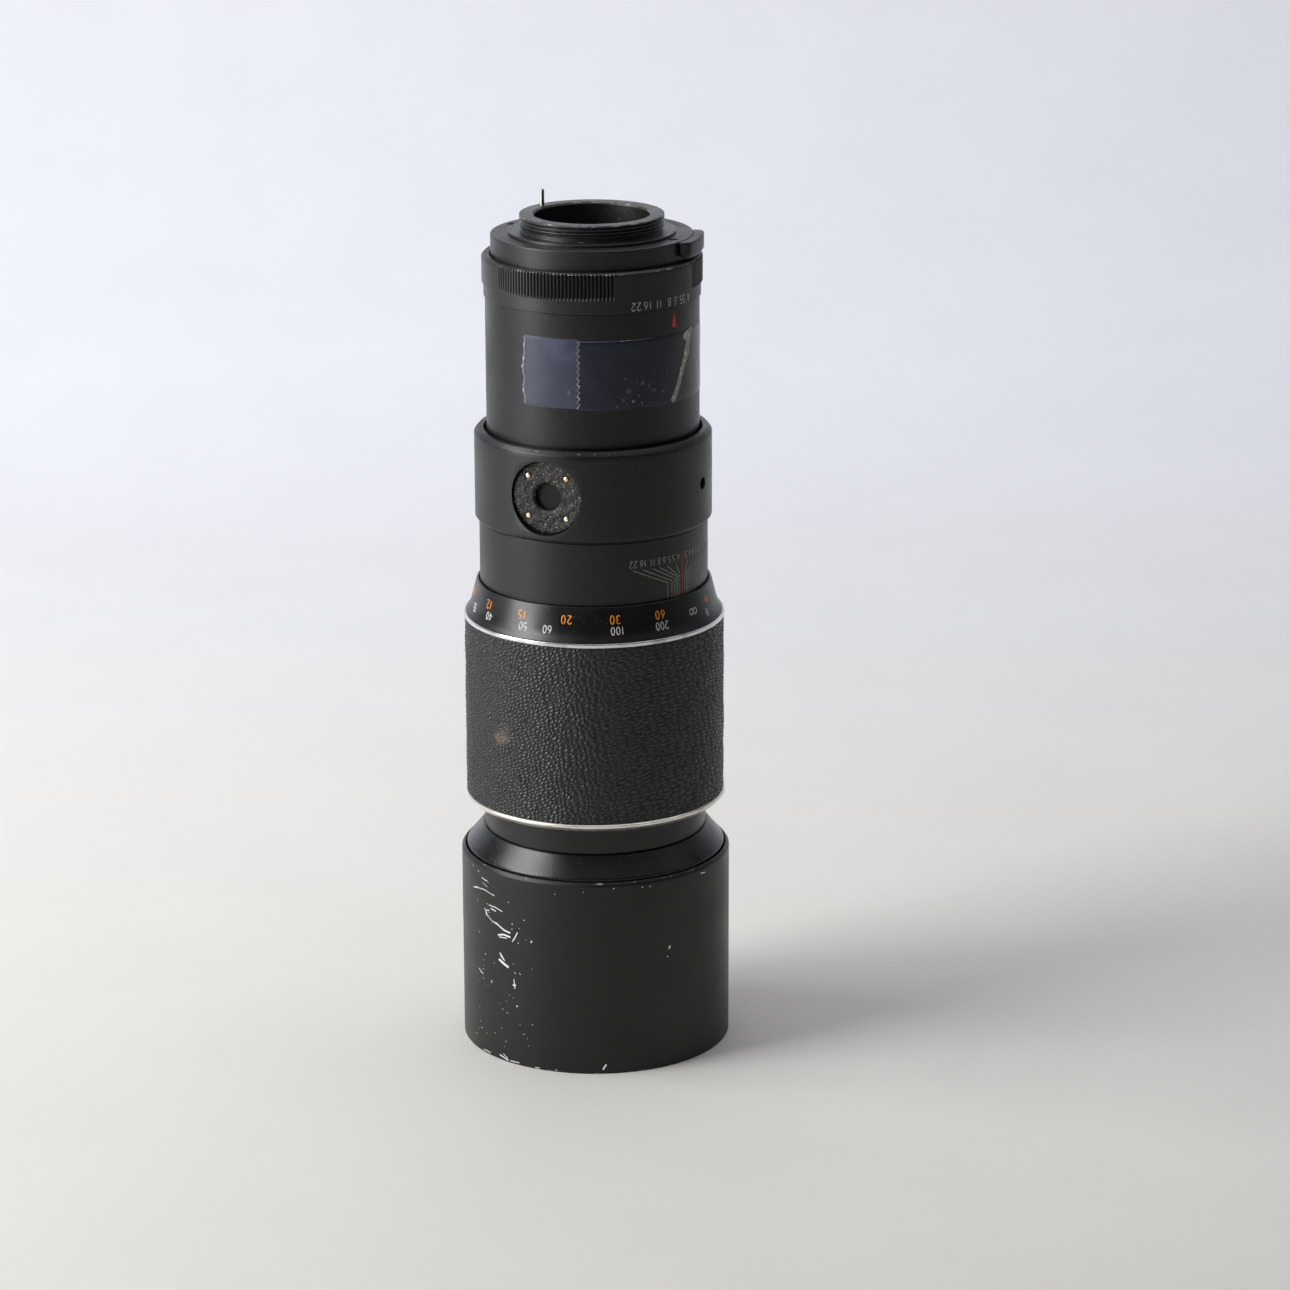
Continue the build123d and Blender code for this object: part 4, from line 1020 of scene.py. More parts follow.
def pebbles(round_distance, height, size, seed):
    """Embossed grain: a jittered lattice of domes.  Its rows rise to the right with a slope of
    0.5 sin(bearing + 135 degrees), and its cells grow longer towards the right.  A place's relief
    comes from how much nearer its nearest dome is than the second nearest: nought in the creases,
    one on the crown, and half as deep towards the right.  Gives the relief and the glossiness,
    which also colours the cloth: painted shade in the creases and a painted highlight on the crowns
    that grows fainter towards the right."""
    rng = np.random.default_rng(seed)
    turn = round_distance / leather_radius
    rise = -0.5 * leather_radius * np.cos(turn + math.radians(135))
    steps = np.linspace(-130, 130, 521)
    length = size * (1.15 + 0.4 * (1 + np.tanh((steps - 4) / 8)))
    run = np.concatenate([[0], np.cumsum(np.diff(steps) / length[1:])])
    u = np.interp(round_distance, steps, run) + 0.12 * height / size
    v = (height - rise + 0.9 * ripple(round_distance, height, 45, seed + 1)) / (size * 0.8)
    u = u + 0.2 * ripple(round_distance, height, 7, seed + 2)
    v = v + 0.42 * ripple(round_distance, height, 5.5, seed + 3)
    cell_u, cell_v = np.floor(u), np.floor(v)
    low_u, low_v, spread = -40, -140, (360, 420)
    jitter = rng.uniform((0.1, 0.27), (0.9, 0.73), (*spread, 2))
    tall = rng.uniform(0.75, 1.0, spread)
    nearest = np.full(u.shape, 9.0)
    second = np.full(u.shape, 9.0)
    height_here = np.ones(u.shape)
    for step_u in (-1, 0, 1):
        for step_v in (-1, 0, 1):
            i = (cell_u + step_u - low_u).astype(int)
            j = (cell_v + step_v - low_v).astype(int)
            far = np.hypot(
                cell_u + step_u + jitter[i, j, 0] - u, cell_v + step_v + jitter[i, j, 1] - v
            )
            height_here = np.where(far < nearest, tall[i, j], height_here)
            second = np.minimum(second, np.maximum(nearest, far))
            nearest = np.minimum(nearest, far)
    dome = (second - nearest) / (second + nearest)
    crown = height_here * dome * (2 - dome)
    fade = 0.5 + 0.5 * np.tanh((round_distance - 4) / 8)
    return 1 - (1 - 0.5 * fade) * (1 - crown), crown * (1 - 0.35 * fade) + 0.1 * fade


class LENS_OT_leather(bpy.types.Operator):
    """Makes the embossed leathercloth round the focus ring, with its butt joint at the back"""

    bl_idname = "lens.make_leather"
    bl_label = "Leathercloth"

    def execute(self, context):
        quarters = [self.make_quarter(number) for number in range(4)]
        for made in quarters:
            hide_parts("grip_leather")
        return {"FINISHED"}

    @staticmethod
    def make_quarter(number):
        """A quarter of the cloth: rows of height and columns of bearing, each point raised by the
        grain, closed by a plain back and by the two ends of the piece."""
        columns, rows = 300, 230
        chosen = settings()
        seat = grip_radius + 0.02
        heights = np.linspace(leather_low + 0.02, leather_top - 0.02, rows)
        bearings = -180 + 90 * number + np.linspace(0, 90, columns)
        around = np.radians(bearings)[None, :] * leather_radius + 0 * heights[:, None]
        crown, gloss_and_painted_light = pebbles(around, heights[:, None] + 0 * around, chosen.grain_size / MM, 5)
        relief = chosen.grain_height / MM
        swell = 0.1 * ripple(around, heights[:, None], 9, 15)
        radius = leather_radius - 0.3 + relief * (crown - 0.4) + swell
        from_edge = np.minimum(heights - leather_low, leather_top - heights)[:, None]
        radius = radius - 0.15 * np.clip(1 - from_edge / 0.6, 0, 1) ** 2
        joint = np.clip(1 - np.abs(np.abs(around) - np.pi * leather_radius) / 0.4, 0, 1)
        radius = np.minimum(radius - 0.2 * joint, leather_radius + 0.02)
        back_heights = np.array([leather_top - 0.05, leather_low + 0.05])
        radius = np.concatenate([radius, np.full((2, columns), seat)])
        tall = np.concatenate([heights, back_heights])[:, None]
        points = bearing_point(bearings[None, :], radius, tall).reshape(-1, 3)
        faces = grid_faces(rows + 2, columns, True, False)
        ends = np.arange((rows + 2) * columns).reshape(rows + 2, columns)
        ends = np.stack([ends[::-1, 0], ends[:, -1]])
        if signed_volume(points, faces) < 0:
            faces, ends = faces[:, ::-1], ends[:, ::-1]
        made = piece(
            f"grip_leathercloth_{number + 1}", [(points, faces), (None, ends)], "leather",
            "focus_ring", 80,
        )
        # the crown attribute holds the glossiness, which also colours the cloth: painted shade in the
        # creases and a painted highlight on the crowns, fainter towards the right
        tone = made.data.attributes.new("crown", "FLOAT", "POINT")
        shown = np.concatenate([gloss_and_painted_light, np.zeros((2, columns))]).astype(np.float32)
        tone.data.foreach_set("value", shown.ravel())
        return made


# ---------------------------------------------------------------- scale barrel and collar
class LENS_OT_scale_barrel(bpy.types.Operator):
    """Makes the depth-of-field barrel and the journal that the tripod collar turns on"""

    bl_idname = "lens.make_scale_barrel"
    bl_label = "Depth-of-Field Barrel"

    def execute(self, context):
        columns = settings().columns
        bore = scale_radius - 1.4
        profile = rounded([
            (bore, scale_low, 0.15), (scale_radius, scale_low, 0.15),
            (scale_radius, scale_top, 0.2), (journal_radius, scale_top, 0.05),
            (journal_radius, scale_top - 2.4, 0.05), (bore, scale_top - 2.4, 0.1),
        ])
        barrel = piece("scale_barrel", turned(profile, columns), "barrel", "main_barrel")
        cut(barrel, rod(180, bore - 1, 3.4, 1.0, scale_low + 20))
        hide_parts("guide_barrel")
        profile = rounded([
            (journal_radius - 1.4, scale_top - 2.4, 0.1), (journal_radius, scale_top - 2.4, 0.1),
            (journal_radius, journal_top, 0.1), (journal_radius - 1.4, journal_top, 0.1),
        ])
        sleeve = piece("journal_sleeve", turned(profile, columns), "inside", "main_barrel")
        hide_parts("collar_journal")
        return {"FINISHED"}


def window_patch(points, columns, window, recess):
    """The round recess that fills a square window left in the collar's wall.  Rings run from the
    window's edge over the wall to the recess's rim, round the rim, down to the floor, in to the
    hole and down it; each ring is a circle seen square-on, at its own depth."""
    row_low, row_high, column_low, column_high = window
    bearing, centre_height, steps = recess
    index = np.arange(len(points)).reshape(-1, columns)
    across = np.arange(column_low, column_high + 1) % columns
    up = np.arange(row_low, row_high + 1)
    rim = np.concatenate([
        index[up[0], across], index[up[1:], across[-1]],
        index[up[-1], across[-2::-1]], index[up[-2:0:-1], across[0]],
    ])
    angle = math.radians(bearing)
    out = np.array([math.sin(angle), -math.cos(angle), 0])
    side = np.array([math.cos(angle), math.sin(angle), 0])
    flat = np.stack([points[rim] @ side, points[rim][:, 2] - centre_height], -1)
    turn = np.arctan2(flat[:, 1], flat[:, 0])
    unit = np.stack([np.cos(turn), np.sin(turn)], -1)
    rings, faces, last = [], [], rim
    count = len(points)
    for kind, radius, depth in steps:
        place = unit * radius
        if kind == "between":
            place = (flat + place) / 2
        on_wall = np.sqrt(collar_radius**2 - place[:, 0] ** 2)
        far = on_wall - depth if kind != "flat" else np.full(len(rim), depth)
        rings.append(
            place[:, :1] * side + place[:, 1:] * [0, 0, 1] + far[:, None] * out
            + [0, 0, centre_height]
        )
        this = count + np.arange(len(rim))
        faces.append(np.stack([last, np.roll(last, -1), np.roll(this, -1), this], -1))
        last = this
        count += len(rim)
    pole = rings[-1].mean(0, keepdims=True)
    fan = np.stack([last, np.roll(last, -1), np.full(len(rim), count)], -1)
    return np.concatenate(rings + [pole]), np.concatenate(faces), fan


class LENS_OT_tripod_collar(bpy.types.Operator):
    """Makes the tripod collar with its milled recess, the rough plate in it, the four pins and the
    friction screw's hole"""

    bl_idname = "lens.make_tripod_collar"
    bl_label = "Tripod Collar"

    def execute(self, context):
        columns = 380
        rows_each_way = 20
        step = 11.5 / rows_each_way
        wall_heights = socket_height + step * np.arange(-rows_each_way, rows_each_way + 1)
        bore = journal_radius + 0.05
        mouth = barrel_radius + 0.85
        lip = journal_top - 0.2
        lower = rounded([
            (bore, lip, 0.1), (bore, collar_low, 0.1), (collar_radius - 1.1, collar_low, 0.15),
            (collar_radius, collar_low + 1.1, 0.3), (collar_radius, collar_top - 1.4, 0.3),
            (collar_radius - 1.2, collar_top, 0.3), (mouth, collar_top, 0.15), (mouth, lip, 0.1),
        ])
        on_wall = np.abs(lower[:, 0] - collar_radius) < 0.01
        first, last = np.flatnonzero(on_wall)[[0, -1]]
        wall = np.stack([np.full(len(wall_heights), collar_radius), wall_heights], -1)
        profile = np.concatenate([lower[:first], wall, lower[last + 1 :]])
        start_row = first
        (points, faces), = turned(profile, columns, None, socket_bearing)
        socket = (start_row, start_row + 2 * rows_each_way, -20, 20)
        middle = start_row + rows_each_way
        quarter = columns // 4
        shoe = (middle - 4, middle + 4, quarter - 4, quarter + 4)
        plate_seat = socket_floor()
        socket_steps = [
            ("between", 11.06, 0.0), ("wall", 11.06, 0.0), ("wall", 10.98, 0.03),
            ("wall", 10.95, 0.12), ("wall", 10.95, 0.2), ("flat", 10.95, plate_seat + 0.1),
            ("flat", 10.9, plate_seat), ("flat", 5.0, plate_seat), ("flat", 4.6, plate_seat),
            ("flat", 4.6, bore + 0.08), ("flat", 2.0, bore + 0.06),
        ]
        grub_face = reach_along("collar_grub_screw", shoe_bearing) - 0.02
        shoe_steps = [
            ("between", 1.95, 0.0), ("wall", 1.95, 0.0), ("wall", 1.84, 0.04), ("wall", 1.8, 0.14),
            ("flat", 1.8, grub_face), ("flat", 0.9, grub_face),
        ]
        holes = [
            (socket, (socket_bearing, socket_height, socket_steps)),
            (shoe, (shoe_bearing, socket_height, shoe_steps)),
        ]
        row_of = (faces.min(1) // columns)
        column_of = np.sort(faces % columns, axis=1)
        left = np.where(column_of[:, -1] - column_of[:, 0] > 2, columns - 1, column_of[:, 0])
        keep = np.ones(len(faces), bool)
        for (row_low, row_high, column_low, column_high), _ in holes:
            inside_rows = (row_of >= row_low) & (row_of < row_high)
            shifted = (left - column_low) % columns
            keep &= ~(inside_rows & (shifted < column_high - column_low))
        extra_points, fans = [points], []
        extra_faces = [faces[keep].tolist()]
        for window, recess in holes:
            more, quads, fan = window_patch(points, columns, window, recess)
            shift = sum(len(p) for p in extra_points) - len(points)
            quads = np.where(quads >= len(points), quads + shift, quads)
            fan = np.where(fan >= len(points), fan + shift, fan)
            extra_points.append(more)
            extra_faces.append(quads.tolist())
            fans.append(fan)
        parts = [(np.concatenate(extra_points), np.array(sum(extra_faces, [])))]
        parts += [(None, fan) for fan in fans]
        collar = piece(
            "tripod_collar_ring", parts, "collar", "tripod_collar",
            46,
        )
        outward(collar, 46)
        self.darken_hole(collar)
        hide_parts("tripod_collar")
        self.make_plate()
        return {"FINISHED"}

    @staticmethod
    def darken_hole(collar):
        """Gives the wall and the bottom of the tapped hole the matt black of the inside."""
        collar.data.materials.append(finish("inside"))
        centres = np.zeros(len(collar.data.polygons) * 3)
        collar.data.polygons.foreach_get("center", centres)
        centres = centres.reshape(-1, 3) / MM
        angle = math.radians(socket_bearing)
        out = centres[:, 0] * math.sin(angle) - centres[:, 1] * math.cos(angle)
        side = centres[:, 0] * math.cos(angle) + centres[:, 1] * math.sin(angle)
        near = np.hypot(side, centres[:, 2] - socket_height) < 4.7
        deep = near & (out > journal_radius) & (out < socket_floor() - 0.01)
        collar.data.polygons.foreach_set("material_index", deep.astype(np.int32))

    def make_plate(self):
        """The rough plate is a closed profile round the socket's own axis whose top rows carry
        random relief, with sunk places round the pins, and the pins are small domed rods."""
        seat = socket_floor() + 0.02
        face = seat + 0.73
        rings = np.linspace(4.75, 10.4, 34)
        top_rows = np.stack([rings, np.full(34, face)], -1)
        profile = np.concatenate([
            [[4.0, seat], [4.0, face - 0.55], [4.35, face - 0.3], [4.6, face - 0.08]],
            top_rows,
            [[10.7, face - 0.12], [10.86, face - 0.35], [10.88, seat]],
        ])
        (points, faces), = turned(profile, 150)
        radius = np.hypot(points[:, 0], points[:, 1])
        u, v = points[:, 0], points[:, 1]
        shown = (points[:, 2] > face - 0.2) & (radius > 4.3)
        relief = (
            0.11 * ripple(u, v, 2.6, 21) + 0.07 * ripple(u, v, 1.1, 22)
            + 0.05 * np.maximum(ripple(u, v, 0.7, 23), 0) - 0.05
        )
        half_square = 5.95
        for pin_u in (-half_square, half_square):
            for pin_v in (-half_square, half_square):
                near = np.hypot(u - pin_u, v - pin_v)
                relief = relief - 0.3 * np.clip(1 - (near - 0.75) / 0.6, 0, 1)
        points[:, 2] += shown * relief
        plate = piece(
            "socket_casting", stood([(points, faces)], socket_bearing, socket_height),
            "casting", "tripod_collar", 70,
        )
        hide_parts("tripod_socket")
        share = np.linspace(0, np.pi / 2, 6)
        dome = np.stack([0.75 * np.cos(share), face + 0.02 + 0.28 * np.sin(share)], -1)
        stub = np.concatenate([[[0, seat], [0.75, seat]], dome[:-1], [[0, dome[-1, 1]]]])
        pins = []
        for pin_u in (-half_square, half_square):
            for pin_v in (-half_square, half_square):
                for part_points, part_faces in turned_solid(stub, 24):
                    if part_points is not None:
                        part_points = part_points + [pin_u, pin_v, 0]
                    pins.append((part_points, part_faces))
        pins = piece(
            "socket_brass_pins", stood(pins, socket_bearing, socket_height), "pin brass",
            "tripod_collar",
        )
        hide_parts("socket_pins")


def reach_along(node, bearing):
    """How far a node reaches outward along a bearing, in millimetres."""
    angle = math.radians(bearing)
    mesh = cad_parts[node].data
    flat = np.zeros(len(mesh.vertices) * 3)
    mesh.vertices.foreach_get("co", flat)
    flat = flat.reshape(-1, 3)
    return float((flat[:, 0] * math.sin(angle) - flat[:, 1] * math.cos(angle)).max()) / MM


def socket_floor():
    """The distance of the recess's floor from the axis, which is the plate's own seat."""
    return reach_along("tripod_socket", socket_bearing) - 0.75


# ---------------------------------------------------------------- rear barrel and tape
def film(start, end, low, high, thickness, left_edge, right_edge, seed):
    """A strip of tape on the rear barrel.  Its two cut edges run between heights and waver, its
    ends are moved along by arrays of offsets, and it lifts a little in long waves."""
    rows, columns = 34, 150
    v = np.linspace(0, 1, rows)[:, None]
    u = np.linspace(0, 1, columns)[None, :]
    bearing = start + (end - start) * u
    fade_left = np.clip(1 - u * 7, 0, 1)
    fade_right = np.clip(1 - (1 - u) * 7, 0, 1)
    bearing = bearing + left_edge[:, None] * fade_left + right_edge[:, None] * fade_right
    around = np.radians(bearing) * barrel_radius
    base = low + (high - low) * v
    height = base + 0.12 * ripple(around, base * 0.2, 14, seed)
    lift = thickness + 0.03 * (1 + ripple(around, height, 6.0, seed + 1))
    lift = lift * np.minimum(1, 0.35 + np.minimum(v, 1 - v) * 20)
    upper = bearing_point(bearing, barrel_radius + lift, height)
    lower = bearing_point(bearing, barrel_radius - 0.02 + 0 * lift, height)
    return slab(upper, lower)


class LENS_OT_rear_barrel(bpy.types.Operator):
    """Makes the long rear barrel and the old adhesive tape stuck round it"""

    bl_idname = "lens.make_rear_barrel"
    bl_label = "Rear Barrel and Tape"

    def execute(self, context):
        bore = barrel_radius - 1.4
        journal_bore = journal_radius - 1.4
        profile = rounded([
            (bore - 1.0, journal_top - 7, 0.1), (journal_bore, journal_top - 7, 0.1),
            (journal_bore, journal_top, 0.05), (barrel_radius, journal_top, 0.1),
            (barrel_radius, barrel_top, 0.15), (bore, barrel_top, 0.1),
            (bore, journal_top + 2, 0.05), (bore - 1.0, journal_top + 2, 0.05),
        ])
        barrel = piece(
            "rear_barrel_tube", turned(profile, settings().columns), "barrel",
            "main_barrel",
        )
        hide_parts("rear_barrel")
        rows = np.arange(34)
        rng = np.random.default_rng(31)
        torn = np.cumsum(rng.uniform(-1.0, 1.0, 34))
        torn = 1.1 * (torn - torn.mean()) / np.abs(torn).max() + rng.uniform(-0.35, 0.35, 34)
        teeth = 0.45 * ((rows % 3) - 1)
        plain = np.zeros(34)
        left = film(-39.2, -7.0, 199.6, 219.9, 0.07, torn, plain, 41)
        right = film(-7.9, 104.0, 199.2, 219.2, 0.09, teeth, 0.6 * torn, 43)
        piece("tape_hazy_end", left, "left film", "main_barrel")
        piece("tape_long_end", right, "right film", "main_barrel")
        self.make_marks(torn, teeth)
        return {"FINISHED"}

    def make_marks(self, torn, teeth):
        """The tape's pale lines are ribbons on it: the torn end, the serrated end and a crease;
        its bubbles are low round blisters."""
        on_film = straight(barrel_radius + 0.12)
        heights = np.linspace(200.0, 219.5, 34)
        torn_line = np.stack([np.radians(-39.0 + torn) * barrel_radius, heights], -1)
        teeth_line = np.stack([np.radians(-7.6 + 1.6 * teeth) * barrel_radius, heights - 0.3], -1)
        edge_bars = [ribbon(torn_line, 0.5, on_film, 0.05), ribbon(teeth_line, 0.34, on_film, 0.05)]
        top_edge = np.stack([np.radians(np.linspace(-7, 34, 60)) * barrel_radius,
                             np.full(60, 219.2)], -1)
        edge_bars.append(ribbon(top_edge, 0.12, on_film, 0.04))
        piece("tape_torn_edges", edge_bars, "film edge", "main_barrel")
        share = np.linspace(0, 1, 40)
        wander = 0.35 * ripple(share * 20, 0 * share, 7, 51)
        crease_bearing = 46.6 + (63 - 46.6) * share ** 0.8 + wander
        crease_line = np.stack([np.radians(crease_bearing) * barrel_radius,
                                199.4 + 19.5 * share], -1)
        branch = np.stack([np.radians(np.linspace(57, 66, 12)) * barrel_radius,
                           np.linspace(217.2, 218.9, 12)], -1)
        bars = [ribbon(crease_line, 1.9, on_film, 0.12), ribbon(branch, 2.4, on_film, 0.1)]
        upper_half = crease_line[22:] + [0.5, 0.0]
        bars.append(ribbon(upper_half, 2.4, on_film, 0.11))
        piece("tape_crease", bars, "crease", "main_barrel")
        rng = np.random.default_rng(61)
        blisters = [(-12.0, 204.2, 0.75), (-13.5, 201.0, 0.4), (19.0, 204.5, 0.9),
                    (22.0, 201.5, 0.6), (27.0, 206.5, 0.8), (31.0, 205.5, 0.55),
                    (25.0, 203.0, 0.45), (34.0, 204.0, 0.7), (40.0, 203.2, 0.5),
                    (16.0, 202.0, 0.5)]
        blisters += [(rng.uniform(12, 44), rng.uniform(200, 209), rng.uniform(0.15, 0.4))
                     for _ in range(14)]
        domes = []
        for bearing, height, radius in blisters:
            share = np.linspace(0, np.pi / 2, 6)
            dome = np.stack([radius * np.cos(share), 0.12 * np.sin(share)], -1) + [0, 0.08]
            line = np.concatenate([[[0, 0.0], [radius, 0.0]], dome[:-1], [[0, 0.2]]])
            line[:, 1] += barrel_radius
            domes += stood(turned_solid(line, 20), bearing, height)
        piece("tape_blisters", domes, "blister", "main_barrel")


# ---------------------------------------------------------------- aperture ring
class LENS_OT_aperture_ring(bpy.types.Operator):
    """Makes the aperture ring with three sectors of fine ribs and its plain scale skirt"""

    bl_idname = "lens.make_aperture_ring"
    bl_label = "Aperture Ring"

    def execute(self, context):
        columns = 1108
        pitch, ribs, first_middle = 1.95, 35, -22.8
        inner = drum_radius + 0.35
        journal = drum_radius - 0.75
        knurl_low = aperture_low + 4.0
        lip = aperture_top - 3.0
        profile = rounded([
            (journal, aperture_low, 0.1), (skirt_radius, aperture_low, 0.12),
            (skirt_radius, knurl_low, 0.08), (knurl_radius, knurl_low, 0.18),
            (knurl_radius, aperture_top - 0.7, 0.2), (knurl_radius - 0.7, aperture_top, 0.2),
            (inner, aperture_top, 0.12), (inner, lip, 0.1), (journal, lip, 0.1),
        ], 3)
        profile = denser(profile, knurl_low, aperture_top - 0.9, knurl_radius, 8)
        bearings = np.arange(columns) * 360 / columns
        groove = np.zeros(columns)
        for sector in range(3):
            away = (bearings - first_middle - 120 * sector + 180) % 360 - 180
            in_sector = np.abs(away) < ribs / 2 * pitch
            phase = np.abs((away / pitch + 0.5) % 1 - 0.5) * pitch
            groove += in_sector * np.clip(1 - (phase / 0.62) ** 2, 0, 1)
        heights = profile[:, 1]
        band = (profile[:, 0] > skirt_radius + 0.1) & (heights > knurl_low - 0.1)
        outside = np.clip((profile[:, 0] - skirt_radius - 0.05) / 0.25, 0, 1)
        fade = np.clip((heights - knurl_low) / 0.25, 0, 1) * outside * band
        fade *= np.clip((aperture_top + 0.05 - heights) / 0.5, 0, 1)
        depth = settings().knurl_depth / MM
        swell = -depth * fade[:, None] * groove[None, :]
        ring = piece(
            "aperture_ring_body", turned(profile, columns, swell), "ring",
            "aperture_ring", 42,
        )
        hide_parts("aperture_ring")
        return {"FINISHED"}


# ---------------------------------------------------------------- rear housing and mount
class LENS_OT_rear_housing(bpy.types.Operator):
    """Makes the rear housing, its cover screws, the thumb switch, the screw mount and the pin"""

    bl_idname = "lens.make_rear_housing"
    bl_label = "Rear Housing and Mount"

    def execute(self, context):
        self.make_housing()
        self.make_mount()
        self.make_switch()
        self.make_pin()
        self.make_spring()
        return {"FINISHED"}

    def make_housing(self):
        """A closed profile turned round the axis, with slots and screw holes cut out of it."""
        bore = drum_radius - 1.8
        journal = drum_radius - 0.8
        barrel_bore = barrel_radius - 1.4
        low = foot("rear_housing")
        lip = aperture_top - 2.9
        spigot = 20.0
        plate = drum_top - 2.0
        profile = rounded([
            (bore, low, 0.1), (barrel_bore, low, 0.1), (barrel_bore, barrel_top - 0.1, 0.1),
            (journal, barrel_top - 0.1, 0.05), (journal, lip, 0.05), (drum_radius, lip, 0.1),
            (drum_radius, drum_top, 0.4), (26.9, drum_top, 0.1), (26.75, drum_top - 0.12, 0.05),
            (26.6, drum_top, 0.1), (spigot, drum_top, 0.1), (spigot, plate, 0.1), (bore, plate, 0.1),
        ])
        housing = piece(
            "rear_housing_drum", turned(profile, settings().columns), "ring",
            "main_barrel",
        )
        link = (foot("aperture_link_pin") + top("aperture_link_pin")) / 2
        switch_low = drum_top - 4.4 - 0.1
        screw_circle = (flange_radius + drum_radius) / 2 - 0.6
        holes = []
        for bearing in (62, -118):
            x, y = spot(bearing, screw_circle)
            holes.append(upright(x, y, plate - 1, drum_top + 1, 1.45))
        cut(
            housing,
            arc_block(bore - 1, barrel_radius, link - 1.5, link + 1.5, 166.6, 42.1),
            arc_block(bore - 1, barrel_radius, switch_low, switch_low + 2.4, 66.5, 33.0),
            *holes,
        )
        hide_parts("rear_housing")
        share = np.linspace(0, np.pi / 2, 5)
        head = np.stack([1.38 * np.cos(share * 0.9), drum_top - 0.35 + 0.22 * np.sin(share)], -1)
        line = np.concatenate([
            [[0, plate - 1.4], [1.1, plate - 1.4], [1.1, drum_top - 1.0], [1.38, drum_top - 0.9]],
            head[:-1], [[0, head[-1, 1]]],
        ])
        heads = []
        for bearing in (62, -118):
            x, y = spot(bearing, screw_circle)
            heads += shifted(turned_solid(line, 32), x, y)
        screws = piece("cover_screw_heads", heads, "dark steel", "main_barrel")
        for bearing, lean in ((62, 25), (-118, -50)):
            x, y = spot(bearing, screw_circle)
            turn = math.radians(lean)
            run = np.array([[-2, -0.22], [2, -0.22], [2, 0.22], [-2, 0.22]])
            spin = np.array([[math.cos(turn), math.sin(turn)], [-math.sin(turn), math.cos(turn)]])
            flat = run @ spin + [x, y]
            upper = np.concatenate([flat, np.full((4, 1), drum_top + 1)], 1)[[[0, 1], [3, 2]]]
            lower = np.concatenate([flat, np.full((4, 1), drum_top - 0.45)], 1)[[[0, 1], [3, 2]]]
            cut(screws, slab(upper, lower))
        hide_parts("mount_screws")
        dots = []
        for bearing, circle in ((-100, 23.3), (-90, 23.6), (-106, 27.6)):
            x, y = spot(bearing, circle)
            face = flange_top if circle < flange_radius else drum_top
            bowl = np.array([[0, face - 0.1], [0.42, face - 0.1], [0.42, face + 0.015],
                             [0.3, face + 0.02], [0, face + 0.02]])
            dots += shifted(turned_solid(bowl, 20), x, y)
        piece("staking_marks", dots, "inside", "main_barrel")

    def make_mount(self):
        """The mount's outside follows a screw: the groove's depth depends on the height less one
        pitch for each turn of bearing, and it fades out above the relief."""
        columns = 256
        relief_top = mount_top - 3.4
        root = thread_radius - 0.55
        spigot_low = drum_top - 5.0
        profile = rounded([
            (mount_bore, spigot_low, 0.1), (20.0, spigot_low, 0.1), (20.0, drum_top, 0.05),
            (flange_radius, drum_top, 0.05), (flange_radius, flange_top, 0.2),
            (root, flange_top, 0.1), (root, relief_top - 0.3, 0.05),
            (thread_radius, relief_top, 0.05), (thread_radius, mount_top, 0.3),
            (mount_bore + 0.5, mount_top, 0.15), (mount_bore, mount_top - 0.6, 0.1),
        ])
        profile = denser(profile, relief_top, mount_top, thread_radius, 62)
        height = profile[:, 1][:, None]
        around = np.arange(columns)[None, :] / columns
        on_thread = (np.abs(profile[:, 0] - thread_radius) < 0.02)[:, None]
        phase = (height - around) % 1
        groove = np.clip(1 - np.abs(phase - 0.5) / 0.36, 0, 1)
        fade = np.clip((mount_top - 0.35 - height) / 0.2, 0, 1)
        fade = fade * np.clip((height - relief_top) / 0.15, 0, 1)
        mount = piece(
            "screw_mount", turned(profile, columns, -0.52 * on_thread * groove * fade),
            "mount", "main_barrel", 44,
        )
        x, y = spot(pin_bearing, pin_circle)
        cut(
            mount, upright(x, y, drum_top + 0.5, mount_top + 2, 0.72),
            upright(x, y, spigot_low - 1, drum_top + 1.0, 1.25), crease=44,
        )
        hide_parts("lens_mount")
        rear = reach("rear_retaining_ring")
        low, high = foot("rear_retaining_ring"), top("rear_retaining_ring")
        line = rounded([
            (rear - 1.6, low, 0.05), (rear, low, 0.05), (rear, high, 0.15),
            (rear - 1.0, high, 0.1), (rear - 1.6, high - 0.5, 0.1),
        ])
        ring = piece(
            "rear_glass_ring", turned(line, 200), "inside", "main_barrel",
        )
        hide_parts("rear_retaining_ring")

